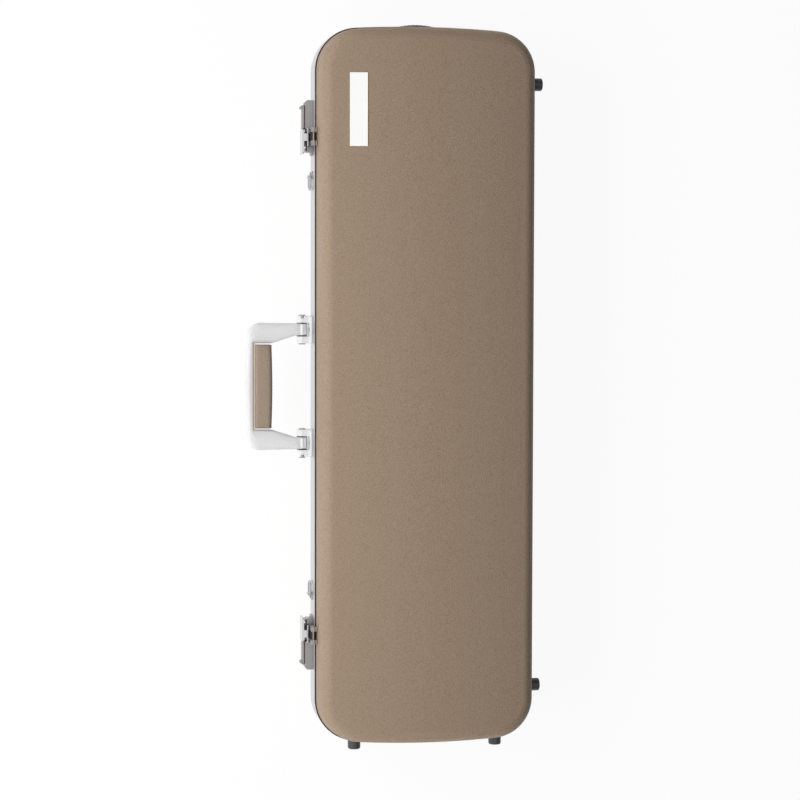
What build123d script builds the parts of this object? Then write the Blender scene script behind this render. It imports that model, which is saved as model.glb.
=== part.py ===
"""Oblong violin case, lying on its back.

X runs along the case, with the lower end (the one with feet) at +X. The latches and the
handle are on the -Y side, the hinges on the +Y side (the spine), and the lid is on top.
The origin is at the middle of the face it rests on. Lengths are in millimetres.
"""
import os

from build123d import *

os.makedirs("parts", exist_ok=True)

# The case as a whole
case_length = 784
case_width = 240
case_height = 140
parting_height = 86
end_bow = 6
corner_radius = 46
shell_wall = 4
lid_crown = 9
lid_edge_radius = 14
body_edge_radius = 38
lid_draft = 5
body_draft = 8

# Clearances and overruns
seat_gap = 0.1
pin_clearance = 0.1
rivet_clearance = 0.05
moving_gap = 0.3
lining_gap = 0.3
overrun = 5

# Aluminium frames round both rims, their rubber trims and the gasket
frame_gap = 0.5
body_frame_height = 20
lid_frame_height = 12
frame_lip = 1.5
frame_inner_lip = 2
frame_web = 3
trim_height = 1.5
trim_width = 1
gasket_inset = 2
gasket_width = 2
gasket_depth = 1.5
gasket_proud = 0.2

# Hinges in the spine
hinge_end_inset = 142
hinge_length = 60
knuckle_count = 5
knuckle_gap = 0.3
knuckle_radius = 2.5
hinge_pin_radius = 1.3
hinge_axis_inset = 0.1
leaf_thickness = 1
leaf_height = 11
hinge_rivet_radius = 1
hinge_rivet_head_radius = 1.8
hinge_rivet_spacing = 20
hinge_rivet_drop = 7

# Rubber feet
foot_radius = 7.5
foot_tip_radius = 6.9
spine_foot_reach = 9
end_foot_reach = 5.5
foot_depth = 27
foot_edge = 1.6
foot_screw_radius = 2.6
foot_screw_depth = 2.5
spine_foot_inset = 60
end_foot_inset = 41
lid_foot_rise = 8.25
body_foot_drop = 19.25

# Carrying handle
handle_drop = 10.25
bracket_spacing = 125
bracket_length = 30.4
bracket_height = 18.5
bracket_base = 3.2
ear_thickness = 7.8
ear_radius = 6
ear_slot = 2.6
ear_slot_depth = 4.5
pin_standoff = 10.8
handle_pin_radius = 2.4
handle_pin_head_radius = 3.6
handle_pin_head = 1.2
bracket_screw_radius = 1.6
bracket_screw_head_radius = 2.9
bracket_screw_spacing = 10
handle_length = 140
handle_reach = 60.5
handle_bow = 1.5
handle_corner = 14
handle_bar = 7.6
handle_thickness = 11
handle_edge = 2.5
arm_width = 13.4
arm_root = 7.7
gusset_width = 22.6
eye_radius = 6.2
grip_length = 88.6
grip_depth = 19
grip_thickness = 17
grip_edge = 7

# Latches
latch_end_inset = 139
latch_length = 60
latch_base = 1.5
latch_height = 17
latch_housing_length = 31
latch_housing_depth = 7
latch_housing_chamfer = 2.5
slot_head = 8
slot_neck = 4
slot_head_depth = 2
slot_lip = 2.4
slider_play = 0.2
slider_key_inset = 6
slider_key_length = 16
slider_plate_length = 26.5
slider_plate_height = 12
slider_plate = 1.8
slider_standoff = 1
slider_lip_radius = 1.6
slider_lip_inset = 2.5
hasp_pin_radius = 1.3
hasp_pin_seat = 4.5
hasp_barrel_radius = 3
hasp_pivot_rise = 4.5
hasp_pivot_standoff = 4.9
hasp_plate = 2
hasp_plate_standoff = 10.6
hasp_plate_length = 27
hasp_rise = 6
hasp_inset = 1
hasp_bar_radius = 1.4
hasp_bar_standoff = 6.3
hasp_bar_rise = 4.5
hasp_bar_web = 8
hasp_edge = 0.8
cap_inset = 3.4
cap_length = 6
cap_depth = 6.5
cap_edge = 2.6
catch_length = 19.4
cheek_width = 5.1
catch_base = 1.5
catch_height = 10
cheek_rise = 9.75
cheek_edge = 1.5
catch_pin_radius = 1
latch_rivet_radius = 1.3
latch_rivet_head_radius = 2.2
latch_rivet_head = 0.8

# Strap lugs and D-rings
lug_latch_gap = 24.5
lug_length = 7
lug_height = 16
lug_base = 1.4
ring_wire_radius = 1.1
ring_width = 14
ring_length = 14.2
ring_corner = 2
ring_end_radius = 6.4
lug_barrel_radius = 2.3
lug_barrel_length = 9.4
ring_play = 0.11

# Carrying handle on the upper end
end_handle_drop = 24.25
end_handle_span = 88
end_handle_rise = 8.4
end_handle_sag = 8.3
end_handle_strap = 3.5
end_handle_width = 22
end_mount_width = 16
end_mount_height = 25
end_mount_depth = 4
end_mount_seat = 16
end_mount_edge = 2
end_screw_radius = 2
end_screw_head_radius = 3.6
end_screw_head = 1.4
end_screw_length = 7

# Linings and the inside of the body
lining_thickness = 2
inner_inset = 6.4
pad_inset = 44
pad_top = 8
foam_drop = 6
foam_seam_inset = 202
foam_neck_end = 37
violin_end_space = 40
violin_length = 360
violin_side_space = 14
neck_slot_width = 46
cradle_gap = 62
cradle_length = 42
cradle_width = 96
cradle_drop = 24
neck_groove_radius = 20
strap_rise = 22
strap_thickness = 1.6
strap_width = 28
strap_foot_inset = 3
tray_length = 130
tray_drop = 10
tray_wall = 3
flap_thickness = 3
flap_barrel_radius = 3
flap_pin_radius = 1.4
flap_axis_standoff = 3.6
flap_barrel_length = 168
flap_lug_length = 8
tab_length = 22
tab_width = 16
tab_thickness = 1.5
tab_inset = 12

# Inside of the lid
spinner_end_inset = 127
spinner_spread = 84
spinner_base_radius = 11
spinner_base_drop = 17
spinner_length = 62
spinner_width = 13
spinner_thickness = 7
spinner_drop = 6
spinner_neck_radius = 4
spinner_stub_radius = 2.2
spinner_stub_length = 6
spinner_edge = 2.5
tip_holder_end_inset = 87
tip_holder_length = 16
tip_holder_width = 30
tip_holder_drop = 28
tip_slot_width = 12
tip_slot_height = 11
tip_slot_floor = 3
plate_end_inset = 92.4
plate_side_inset = 41
plate_length = 78.6
plate_width = 19.2
plate_thickness = 1

# Heights and faces that follow from the sizes above
body_frame_top = parting_height - frame_gap / 2
body_frame_low = body_frame_top - body_frame_height
lid_frame_low = parting_height + frame_gap / 2
lid_frame_top = lid_frame_low + lid_frame_height
body_rim = body_frame_top - frame_web
lid_rim = lid_frame_low + frame_web
body_wall_start = body_frame_low - trim_height
lid_wall_start = lid_frame_top + trim_height
frame_outer = seat_gap + frame_lip
frame_channel = shell_wall + seat_gap
frame_inner = frame_channel + frame_inner_lip
frame_face = case_width / 2 + frame_outer
spine_axis = frame_face - hinge_axis_inset
upper_end = -case_length / 2
lower_end = case_length / 2
lid_foot_height = lid_wall_start + lid_foot_rise
body_foot_height = body_wall_start - body_foot_drop
handle_height = body_frame_top - handle_drop


def rim_outline(grow):
    """Outline of the case at its rim: two straight sides, two bowed ends, round corners."""
    side = case_length / 2 - end_bow
    with BuildSketch() as rim:
        with BuildLine():
            Line((-side, -case_width / 2), (side, -case_width / 2))
            ThreePointArc((side, -case_width / 2), (case_length / 2, 0), (side, case_width / 2))
            Line((side, case_width / 2), (-side, case_width / 2))
            ThreePointArc((-side, case_width / 2), (-case_length / 2, 0), (-side, -case_width / 2))
        make_face()
        fillet(rim.vertices(), corner_radius)
        if grow:
            offset(amount=grow)
    return rim.sketch


def rim_ring(outer, inner, low, high):
    """A ring that follows the rim, from one offset of the outline to another."""
    outer_outline = rim_outline(outer)
    inner_outline = rim_outline(inner)
    with BuildPart() as ring:
        with BuildSketch(Plane.XY.offset(low)):
            add(outer_outline)
            add(inner_outline, mode=Mode.SUBTRACT)
        extrude(amount=high - low)
    return ring.part


def lid_form(inset, low):
    """The lid as a solid: a short straight rim, drafted walls, a crowned top, a round edge."""
    outline = rim_outline(-inset)
    top = case_height - inset
    crown_radius = ((case_width / 2) ** 2 + lid_crown**2) / (2 * lid_crown) - inset
    with BuildPart() as form:
        with BuildSketch(Plane.XY.offset(low)):
            add(outline)
        extrude(amount=lid_wall_start - low)
        with BuildSketch(Plane.XY.offset(lid_wall_start)):
            add(outline)
        extrude(amount=top - lid_wall_start, taper=lid_draft)
        with BuildSketch(Plane.YZ):
            with Locations((0, top - crown_radius)):
                Circle(crown_radius)
        extrude(amount=case_length, both=True, mode=Mode.INTERSECT)
        fillet(form.faces().sort_by(Axis.Z)[-1].edges(), lid_edge_radius - inset)
    return form.part


def body_form(inset, high):
    """The body as a solid, made upside down: a rim, drafted walls, a flat back, a round edge."""
    outline = rim_outline(-inset)
    with BuildPart() as form:
        with BuildSketch(Plane.XY.offset(body_wall_start)):
            add(outline)
        extrude(amount=body_wall_start - inset, taper=body_draft)
        fillet(form.faces().sort_by(Axis.Z)[-1].edges(), body_edge_radius - inset)
        with BuildSketch(Plane.XY.offset(2 * body_wall_start - high)):
            add(outline)
        extrude(amount=high - body_wall_start)
    return mirror(form.part, about=Plane.XY.offset(body_wall_start))


def block(low, high, mode=Mode.ADD):
    """A rectangular block between two corners, in the part that is being built."""
    with Locations(tuple((a + b) / 2 for a, b in zip(low, high))):
        Box(*[abs(b - a) for a, b in zip(low, high)], mode=mode)


def rod(start, direction, radius, length, mode=Mode.ADD):
    """A round bar from its start point along a direction, in the part that is being built."""
    with Locations(Plane(start, z_dir=direction)):
        Cylinder(radius, length, align=(Align.CENTER, Align.CENTER, Align.MIN), mode=mode)


lid_outside = lid_form(0, lid_rim)
body_outside = body_form(0, body_rim)

# Body shell: moulded, hollow, its rim standing in the body frame
body_hollow = body_form(shell_wall, body_rim + overrun)
with BuildPart() as body_shell:
    add(body_outside)
    add(body_hollow, mode=Mode.SUBTRACT)
body_shell.part.label = "body_shell"
export_step(body_shell.part, "parts/body_shell.step")

# Lid shell: the same, upside down, with a crowned top
lid_hollow = lid_form(shell_wall, lid_rim - overrun)
with BuildPart() as lid_shell:
    add(lid_outside)
    add(lid_hollow, mode=Mode.SUBTRACT)
lid_shell.part.label = "lid_shell"
export_step(lid_shell.part, "parts/lid_shell.step")

# Places of the hinges, their knuckles and their rivets along the spine
hinge_middles = (upper_end + hinge_end_inset, 0, lower_end - hinge_end_inset)
knuckle_pitch = hinge_length / knuckle_count
knuckle_length = knuckle_pitch - knuckle_gap
pocket_radius = knuckle_radius + moving_gap
pocket_length = hinge_length + 2 * moving_gap
rivet_starts = [
    (middle + step * hinge_rivet_spacing, frame_face)
    for middle in hinge_middles
    for step in (-1, 0, 1)
]


def hinge_pockets(upward):
    """Cuts the places of the three hinges out of the frame that is being built."""
    for middle in hinge_middles:
        start = middle - pocket_length / 2
        rod((start, spine_axis, parting_height), (1, 0, 0), pocket_radius, pocket_length,
            mode=Mode.SUBTRACT)
        block(
            (start, frame_face - leaf_thickness, parting_height),
            (start + pocket_length, frame_face + overrun,
             parting_height + upward * (leaf_height + seat_gap)),
            mode=Mode.SUBTRACT,
        )
    for x, y in rivet_starts:
        rod((x, y, parting_height + upward * hinge_rivet_drop), (0, -1, 0),
            hinge_rivet_radius + rivet_clearance, overrun, mode=Mode.SUBTRACT)


# Frames: an outer lip, an inner lip and a web between them that caps the shell's rim
body_ring = rim_ring(frame_outer, -frame_inner, body_frame_low, body_frame_top)
body_channel = rim_ring(seat_gap, -frame_channel, body_frame_low - overrun, body_rim)
gasket_groove = rim_ring(
    -gasket_inset, -gasket_inset - gasket_width, body_frame_top - gasket_depth,
    body_frame_top + overrun,
)
with BuildPart() as body_frame:
    add(body_ring)
    add(body_channel, mode=Mode.SUBTRACT)
    add(gasket_groove, mode=Mode.SUBTRACT)
    hinge_pockets(-1)
body_frame.part.label = "body_frame"
export_step(body_frame.part, "parts/body_frame.step")

lid_ring = rim_ring(frame_outer, -frame_inner, lid_frame_low, lid_frame_top)
lid_channel = rim_ring(seat_gap, -frame_channel, lid_rim, lid_frame_top + overrun)
with BuildPart() as lid_frame:
    add(lid_ring)
    add(lid_channel, mode=Mode.SUBTRACT)
    hinge_pockets(1)
lid_frame.part.label = "lid_frame"
export_step(lid_frame.part, "parts/lid_frame.step")

# Gasket in the body frame, and a rubber trim where each frame meets the leatherette
gasket = rim_ring(
    -gasket_inset - rivet_clearance, -gasket_inset - gasket_width + rivet_clearance,
    body_frame_top - gasket_depth, body_frame_top + gasket_proud,
)
gasket.label = "gasket"
export_step(gasket, "parts/gasket.step")

lid_trim = rim_ring(
    seat_gap + trim_width, seat_gap, lid_frame_top, lid_frame_top + trim_height
)
lid_trim.label = "lid_trim"
export_step(lid_trim, "parts/lid_trim.step")

body_trim = rim_ring(
    seat_gap + trim_width, seat_gap, body_frame_low - trim_height, body_frame_low
)
body_trim.label = "body_trim"
export_step(body_trim, "parts/body_trim.step")


def hinge_leaves(upward, own_knuckles):
    """Three leaves: a plate let into the frame, with every second knuckle of the barrel."""
    other_knuckles = [n for n in range(knuckle_count) if n not in own_knuckles]
    with BuildPart() as leaves:
        for middle in hinge_middles:
            start = middle - hinge_length / 2
            block(
                (start, frame_face - leaf_thickness, parting_height),
                (start + hinge_length, frame_face, parting_height + upward * leaf_height),
            )
            for n in other_knuckles:
                rod((start + n * knuckle_pitch - knuckle_gap / 2, spine_axis, parting_height),
                    (1, 0, 0), pocket_radius, knuckle_pitch + knuckle_gap, mode=Mode.SUBTRACT)
            for n in own_knuckles:
                rod((start + n * knuckle_pitch + knuckle_gap / 2, spine_axis, parting_height),
                    (1, 0, 0), knuckle_radius, knuckle_length)
            rod((start - overrun, spine_axis, parting_height), (1, 0, 0),
                hinge_pin_radius + pin_clearance, hinge_length + 2 * overrun,
                mode=Mode.SUBTRACT)
        for x, y in rivet_starts:
            rod((x, y + overrun, parting_height + upward * hinge_rivet_drop), (0, -1, 0),
                hinge_rivet_radius + rivet_clearance, overrun + leaf_thickness,
                mode=Mode.SUBTRACT)
    return leaves.part


body_leaves = hinge_leaves(-1, (0, 2, 4))
body_leaves.label = "hinge_leaves_body"
export_step(body_leaves, "parts/hinge_leaves_body.step")

lid_leaves = hinge_leaves(1, (1, 3))
lid_leaves.label = "hinge_leaves_lid"
export_step(lid_leaves, "parts/hinge_leaves_lid.step")

with BuildPart() as hinge_pins:
    for middle in hinge_middles:
        rod((middle - hinge_length / 2, spine_axis, parting_height), (1, 0, 0),
            hinge_pin_radius, hinge_length)
hinge_pins.part.label = "hinge_pins"
export_step(hinge_pins.part, "parts/hinge_pins.step")


def hinge_rivets(upward):
    """Rivets that hold the leaves: a round shank and a flat head on the leaf."""
    with BuildPart() as rivets:
        for x, y in rivet_starts:
            level = parting_height + upward * hinge_rivet_drop
            rod((x, y, level), (0, -1, 0), hinge_rivet_radius, frame_lip)
            rod((x, y, level), (0, 1, 0), hinge_rivet_head_radius, hinge_rivet_radius / 2)
    return rivets.part


body_rivets = hinge_rivets(-1)
body_rivets.label = "hinge_rivets_body"
export_step(body_rivets, "parts/hinge_rivets_body.step")

lid_rivets = hinge_rivets(1)
lid_rivets.label = "hinge_rivets_lid"
export_step(lid_rivets, "parts/hinge_rivets_lid.step")


def feet(level, outside):
    """Four rubber feet on one shell: two on the spine and two on the lower end."""
    spine_tip = case_width / 2 + spine_foot_reach
    end_tip = case_length / 2 + end_foot_reach
    spine_x = case_length / 2 - spine_foot_inset
    end_y = case_width / 2 - end_foot_inset
    places = [((side * spine_x, spine_tip, level), (0, -1, 0)) for side in (-1, 1)]
    places += [((end_tip, side * end_y, level), (-1, 0, 0)) for side in (-1, 1)]
    with BuildPart() as made:
        for tip, inward in places:
            with Locations(Plane(tip, z_dir=inward)):
                Cone(foot_tip_radius, foot_radius, foot_depth,
                     align=(Align.CENTER, Align.CENTER, Align.MIN))
            tip_face = made.faces().sort_by_distance(tip)[0]
            fillet(tip_face.edges(), foot_edge)
            rod(tip, inward, foot_screw_radius, foot_screw_depth, mode=Mode.SUBTRACT)
        add(outside, mode=Mode.SUBTRACT)
    return made.part


body_feet = feet(body_foot_height, body_outside)
body_feet.label = "body_feet"
export_step(body_feet, "parts/body_feet.step")

lid_feet = feet(lid_foot_height, lid_outside)
lid_feet.label = "lid_feet"
export_step(lid_feet, "parts/lid_feet.step")

# Handle brackets: a base on the body frame and two ears with a pin between them
pin_line = -frame_face - pin_standoff
bracket_face = -frame_face - bracket_base
screw_levels = (
    handle_height - bracket_screw_spacing / 2,
    handle_height + bracket_screw_spacing / 2,
)


def handle_bracket(side):
    """One bracket, at the left (-1) or the right (1)."""
    middle = side * bracket_spacing / 2
    with BuildPart() as bracket:
        block(
            (middle - bracket_length / 2, -frame_face, handle_height - bracket_height / 2),
            (middle + bracket_length / 2, bracket_face, handle_height + bracket_height / 2),
        )
        fillet(bracket.edges().filter_by(Axis.Y), handle_edge)
        for end in (-1, 1):
            outer = middle + end * bracket_length / 2
            inner = outer - end * ear_thickness
            block(
                (outer, bracket_face, handle_height - ear_radius),
                (inner, pin_line, handle_height + ear_radius),
            )
            rod((min(outer, inner), pin_line, handle_height), (1, 0, 0), ear_radius,
                ear_thickness)
        outer = middle + side * bracket_length / 2
        inner = outer - side * ear_thickness
        block(
            (outer + side * overrun, pin_line - ear_slot / 2, handle_height + ear_radius + overrun),
            (outer - side * ear_slot, pin_line + ear_slot / 2,
             handle_height + ear_radius - ear_slot_depth),
            mode=Mode.SUBTRACT,
        )
        rod((middle - bracket_length, pin_line, handle_height), (1, 0, 0),
            handle_pin_radius + pin_clearance, 2 * bracket_length, mode=Mode.SUBTRACT)
        for level in screw_levels:
            with Locations(Plane((middle, bracket_face, level), z_dir=(0, -1, 0))):
                CounterSinkHole(bracket_screw_radius + rivet_clearance,
                                bracket_screw_head_radius + rivet_clearance, bracket_base)
    return bracket.part


left_bracket = handle_bracket(-1)
left_bracket.label = "handle_bracket_left"
export_step(left_bracket, "parts/handle_bracket_left.step")

right_bracket = handle_bracket(1)
right_bracket.label = "handle_bracket_right"
export_step(right_bracket, "parts/handle_bracket_right.step")

with BuildPart() as handle_pins:
    for side in (-1, 1):
        middle = side * bracket_spacing / 2
        start = middle - bracket_length / 2
        rod((start, pin_line, handle_height), (1, 0, 0), handle_pin_radius, bracket_length)
        rod((start, pin_line, handle_height), (-1, 0, 0), handle_pin_head_radius,
            handle_pin_head)
        rod((start + bracket_length, pin_line, handle_height), (1, 0, 0),
            handle_pin_head_radius, handle_pin_head)
handle_pins.part.label = "handle_pins"
export_step(handle_pins.part, "parts/handle_pins.step")

with BuildPart() as bracket_screws:
    for side in (-1, 1):
        for level in screw_levels:
            place = (side * bracket_spacing / 2, bracket_face, level)
            rod(place, (0, 1, 0), bracket_screw_radius, bracket_base)
            with Locations(Plane(place, z_dir=(0, 1, 0))):
                Cone(bracket_screw_head_radius, bracket_screw_radius,
                     bracket_screw_head_radius - bracket_screw_radius,
                     align=(Align.CENTER, Align.CENTER, Align.MIN))
bracket_screws.part.label = "bracket_screws"
export_step(bracket_screws.part, "parts/bracket_screws.step")

# Handle: a flat metal frame with widened corners, and a leather grip under its bar
handle_half = handle_length / 2
bar_out = pin_line - handle_reach
bar_in = bar_out + handle_bar
arm_out = bracket_spacing / 2 + arm_width / 2
arm_in = bracket_spacing / 2 - arm_width / 2
gusset_in = handle_half - gusset_width
grip_in = bar_in + grip_depth
with BuildPart() as handle_frame:
    with BuildSketch(Plane.XY.offset(handle_height - handle_thickness / 2)):
        with BuildLine():
            Polyline(
                (0, bar_in), (gusset_in, bar_in), (gusset_in, grip_in),
                (arm_in, pin_line - arm_root), (arm_in, pin_line), (arm_out, pin_line),
                (handle_half, bar_out + handle_corner),
            )
            arc = TangentArc(
                (handle_half, bar_out + handle_corner),
                (handle_half - handle_corner, bar_out), tangent=(0, -1),
            )
            Line(arc @ 1, (0, bar_out - handle_bow))
            mirror(about=Plane.YZ)
        make_face()
    extrude(amount=handle_thickness)
    rims = handle_frame.faces().sort_by(Axis.Z)
    fillet(rims[-1].edges() + rims[0].edges(), handle_edge)
    for side in (-1, 1):
        start = side * bracket_spacing / 2 - arm_width / 2
        rod((start, pin_line, handle_height), (1, 0, 0), eye_radius, arm_width)
        rod((start - overrun, pin_line, handle_height), (1, 0, 0),
            handle_pin_radius + pin_clearance, arm_width + 2 * overrun, mode=Mode.SUBTRACT)
handle_frame.part.label = "handle_frame"
export_step(handle_frame.part, "parts/handle_frame.step")

with BuildPart() as handle_grip:
    block(
        (-grip_length / 2, bar_in, handle_height - grip_thickness / 2),
        (grip_length / 2, grip_in, handle_height + grip_thickness / 2),
    )
    fillet(handle_grip.edges().filter_by(Axis.X), grip_edge)
handle_grip.part.label = "handle_grip"
export_step(handle_grip.part, "parts/handle_grip.step")

# Latches: heights and lines shared by the housing, the slider, the hasp and the catch
latch_inner = case_length / 2 - latch_end_inset
hasp_inner = latch_inner + hasp_inset
hasp_top = parting_height + hasp_rise
hasp_bar_height = parting_height + hasp_bar_rise
cheek_top = lid_frame_top + cheek_rise
latch_low = handle_height - latch_height / 2
latch_high = latch_low + latch_height
latch_outer = latch_inner + latch_length
housing_start = latch_outer - latch_housing_length
latch_face = -frame_face - latch_base
housing_face = latch_face - latch_housing_depth
slot_back = housing_face + slot_lip + slot_head_depth
hasp_line = latch_face - hasp_pivot_standoff + latch_base
hasp_level = latch_low + hasp_pivot_rise
barrel_start = latch_inner + cap_inset + cap_length
barrel_end = housing_start
hasp_front = -frame_face - hasp_plate_standoff
catch_start = barrel_start
bar_line = -frame_face - hasp_bar_standoff
cheek_front = bar_line + hasp_bar_radius + moving_gap


def latch_housing(side):
    """Base plate, block with the slider's slot, and the rounded cap that holds the pin."""
    with BuildPart() as housing:
        block(
            (side * latch_inner, -frame_face, latch_low),
            (side * latch_outer, latch_face, latch_high),
        )
        fillet(housing.edges().filter_by(Axis.Y), latch_base)
        block(
            (side * housing_start, latch_face, latch_low),
            (side * latch_outer, housing_face, latch_high),
        )
        outer_corner = housing.edges().filter_by(Axis.Z).sort_by_distance(
            (side * latch_outer, housing_face, handle_height))[0]
        chamfer(outer_corner, latch_housing_chamfer)
        block(
            (side * (housing_start - overrun), slot_back, handle_height - slot_head / 2),
            (side * (latch_outer + overrun), housing_face + slot_lip,
             handle_height + slot_head / 2),
            mode=Mode.SUBTRACT,
        )
        block(
            (side * (housing_start - overrun), slot_back, handle_height - slot_neck / 2),
            (side * (latch_outer + overrun), housing_face - overrun,
             handle_height + slot_neck / 2),
            mode=Mode.SUBTRACT,
        )
    with BuildPart() as cap:
        block(
            (side * (latch_inner + cap_inset), latch_face, latch_low),
            (side * barrel_start, latch_face - cap_depth, latch_high),
        )
        fillet(cap.faces().sort_by(Axis.Y)[0].edges(), cap_edge)
    with BuildPart() as whole:
        add(housing.part)
        add(cap.part)
        rod((side * latch_inner, hasp_line, hasp_level), (side, 0, 0),
            hasp_pin_radius + pin_clearance, barrel_end - latch_inner + hasp_pin_seat,
            mode=Mode.SUBTRACT)
        for place in latch_rivet_places(side):
            rod(place, (0, 1, 0), latch_rivet_radius + rivet_clearance, latch_base,
                mode=Mode.SUBTRACT)
    return whole.part


def latch_rivet_places(side):
    """Two rivets in the base plate, behind the hasp."""
    middle = (barrel_start + barrel_end) / 2
    return [
        (side * (middle + step * slot_head / 2), latch_face, handle_height + slot_neck)
        for step in (-1, 1)
    ]


def latch_pin(side):
    """The hasp's pin, from the cap to inside the housing block."""
    start = latch_inner + cap_inset
    with BuildPart() as pin:
        rod((side * start, hasp_line, hasp_level), (side, 0, 0), hasp_pin_radius,
            barrel_end - start + hasp_pin_seat)
    return pin.part


def latch_slider(side):
    """Release slider: a plate with a rolled finger lip, and a T-shaped key in the slot."""
    plate_start = hasp_inner + hasp_plate_length + slider_play
    plate_back = housing_face - slider_standoff
    plate_front = plate_back - slider_plate
    lip_x = plate_start + slider_plate_length - slider_lip_inset
    with BuildPart() as slider:
        block(
            (side * plate_start, plate_back, handle_height - slider_plate_height / 2),
            (side * (plate_start + slider_plate_length), plate_front,
             handle_height + slider_plate_height / 2),
        )
        fillet(slider.edges().filter_by(Axis.Y), slider_lip_radius)
        rod((side * lip_x, plate_front - slider_lip_radius / 2,
             handle_height - slider_plate_height / 2 + slider_lip_radius), (0, 0, 1),
            slider_lip_radius, slider_plate_height - 2 * slider_lip_radius)
        key_start = housing_start + slider_key_inset
        block(
            (side * key_start, slot_back - slider_play,
             handle_height - slot_head / 2 + slider_play),
            (side * (key_start + slider_key_length), housing_face + slot_lip + slider_play,
             handle_height + slot_head / 2 - slider_play),
        )
        block(
            (side * key_start, slot_back - slider_play,
             handle_height - slot_neck / 2 + slider_play),
            (side * (key_start + slider_key_length), plate_back,
             handle_height + slot_neck / 2 - slider_play),
        )
    return slider.part


def latch_hasp(side):
    """Hasp: a front plate on a barrel, with a bright bar rolled at its upper edge."""
    plate_low = hasp_level - hasp_pin_radius
    with BuildPart() as hasp:
        block(
            (side * hasp_inner, hasp_front, plate_low),
            (side * (hasp_inner + hasp_plate_length), hasp_front - hasp_plate, hasp_top),
        )
        fillet(hasp.edges().filter_by(Axis.Y), hasp_plate)
        front = hasp.faces().sort_by(Axis.Y)[0]
        fillet(front.edges(), hasp_edge)
        rod((side * (barrel_start + moving_gap), hasp_line, hasp_level), (side, 0, 0),
            hasp_barrel_radius, barrel_end - barrel_start - 2 * moving_gap)
        block(
            (side * (barrel_start + moving_gap), hasp_line, hasp_level),
            (side * (hasp_inner + hasp_plate_length - hasp_plate), hasp_front,
             hasp_level + hasp_barrel_radius),
        )
        rod((side * (barrel_start - overrun), hasp_line, hasp_level), (side, 0, 0),
            hasp_pin_radius + pin_clearance, latch_length, mode=Mode.SUBTRACT)
        bar_middle = catch_start + catch_length / 2
        block(
            (side * (bar_middle - hasp_bar_web / 2), bar_line, hasp_bar_height - hasp_edge),
            (side * (bar_middle + hasp_bar_web / 2), hasp_front, hasp_bar_height + hasp_edge),
        )
        rod((side * catch_start, bar_line, hasp_bar_height), (side, 0, 0),
            hasp_bar_radius, catch_length)
    return hasp.part


def latch_catch(side):
    """Catch on the lid frame: a base, two cheeks that reach over the trim, and a pin."""
    low = lid_frame_low + frame_gap
    with BuildPart() as catch:
        block(
            (side * catch_start, -frame_face, low),
            (side * (catch_start + catch_length), -frame_face - catch_base,
             low + catch_height),
        )
        for start in (catch_start, catch_start + catch_length - cheek_width):
            block(
                (side * start, -frame_face, low),
                (side * (start + cheek_width), cheek_front, cheek_top),
            )
        lobe_low = lid_wall_start + moving_gap
        fillet(catch.edges().filter_by(Axis.X).group_by(Axis.Z)[-1], cheek_edge)
        for start in (catch_start, catch_start + catch_length - cheek_width):
            block(
                (side * start, -case_width / 2 - seat_gap - rivet_clearance, lobe_low),
                (side * (start + cheek_width), -frame_face, cheek_top - cheek_edge),
            )
        rod((side * catch_start, -frame_face - catch_base - catch_pin_radius / 2,
             cheek_top - 2 * cheek_edge), (side, 0, 0), catch_pin_radius, catch_length)
    return catch.part


with BuildPart() as latch_rivets:
    for side in (-1, 1):
        for place in latch_rivet_places(side):
            rod(place, (0, 1, 0), latch_rivet_radius, latch_base)
            rod(place, (0, -1, 0), latch_rivet_head_radius, latch_rivet_head)
latch_rivets.part.label = "latch_rivets"
export_step(latch_rivets.part, "parts/latch_rivets.step")

# Strap lug: a small plate with a barrel, in which the straight side of the D-ring turns
lug_inner = latch_inner - lug_latch_gap
lug_axis_line = -frame_face - lug_base - ring_wire_radius - ring_play


def strap_lug(side):
    """One lug on the body frame, with its rivet heads."""
    axis_x = lug_inner + ring_wire_radius
    with BuildPart() as lug:
        block(
            (side * lug_inner, -frame_face, handle_height - lug_height / 2),
            (side * (lug_inner + lug_length), -frame_face - lug_base,
             handle_height + lug_height / 2),
        )
        fillet(lug.edges().filter_by(Axis.Y), lug_base)
        rod((side * axis_x, lug_axis_line, handle_height - lug_barrel_length / 2), (0, 0, 1),
            lug_barrel_radius, lug_barrel_length)
        rod((side * axis_x, lug_axis_line, handle_height - lug_height), (0, 0, 1),
            ring_wire_radius + pin_clearance, 2 * lug_height, mode=Mode.SUBTRACT)
        rod((side * (lug_inner + lug_length - lug_barrel_radius), -frame_face - lug_base,
             handle_height), (0, -1, 0), lug_base, lug_base / 2)
    return lug.part


def d_ring(side):
    """A D-shaped ring of round wire, lying flat and pointing to the handle."""
    axis_x = lug_inner + ring_wire_radius
    tip_x = axis_x - ring_length
    low = handle_height - ring_width / 2
    high = handle_height + ring_width / 2
    with BuildPart() as ring:
        with BuildLine(Plane.XZ.offset(-lug_axis_line)):
            FilletPolyline(
                (side * axis_x, low), (side * axis_x, high), (side * tip_x, high),
                (side * tip_x, low), radius=[ring_corner, ring_corner, ring_end_radius,
                                             ring_end_radius], close=True,
            )
        with BuildSketch(Plane((side * axis_x, lug_axis_line, handle_height), z_dir=(0, 0, 1))):
            Circle(ring_wire_radius)
        sweep()
    return ring.part


for side, name in ((-1, "left"), (1, "right")):
    for kind, maker in (
        ("latch_housing", latch_housing), ("latch_pin", latch_pin),
        ("latch_slider", latch_slider), ("latch_hasp", latch_hasp),
        ("latch_catch", latch_catch), ("strap_lug", strap_lug), ("d_ring", d_ring),
    ):
        piece = maker(side)
        piece.label = f"{kind}_{name}"
        export_step(piece, f"parts/{kind}_{name}.step")

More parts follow.
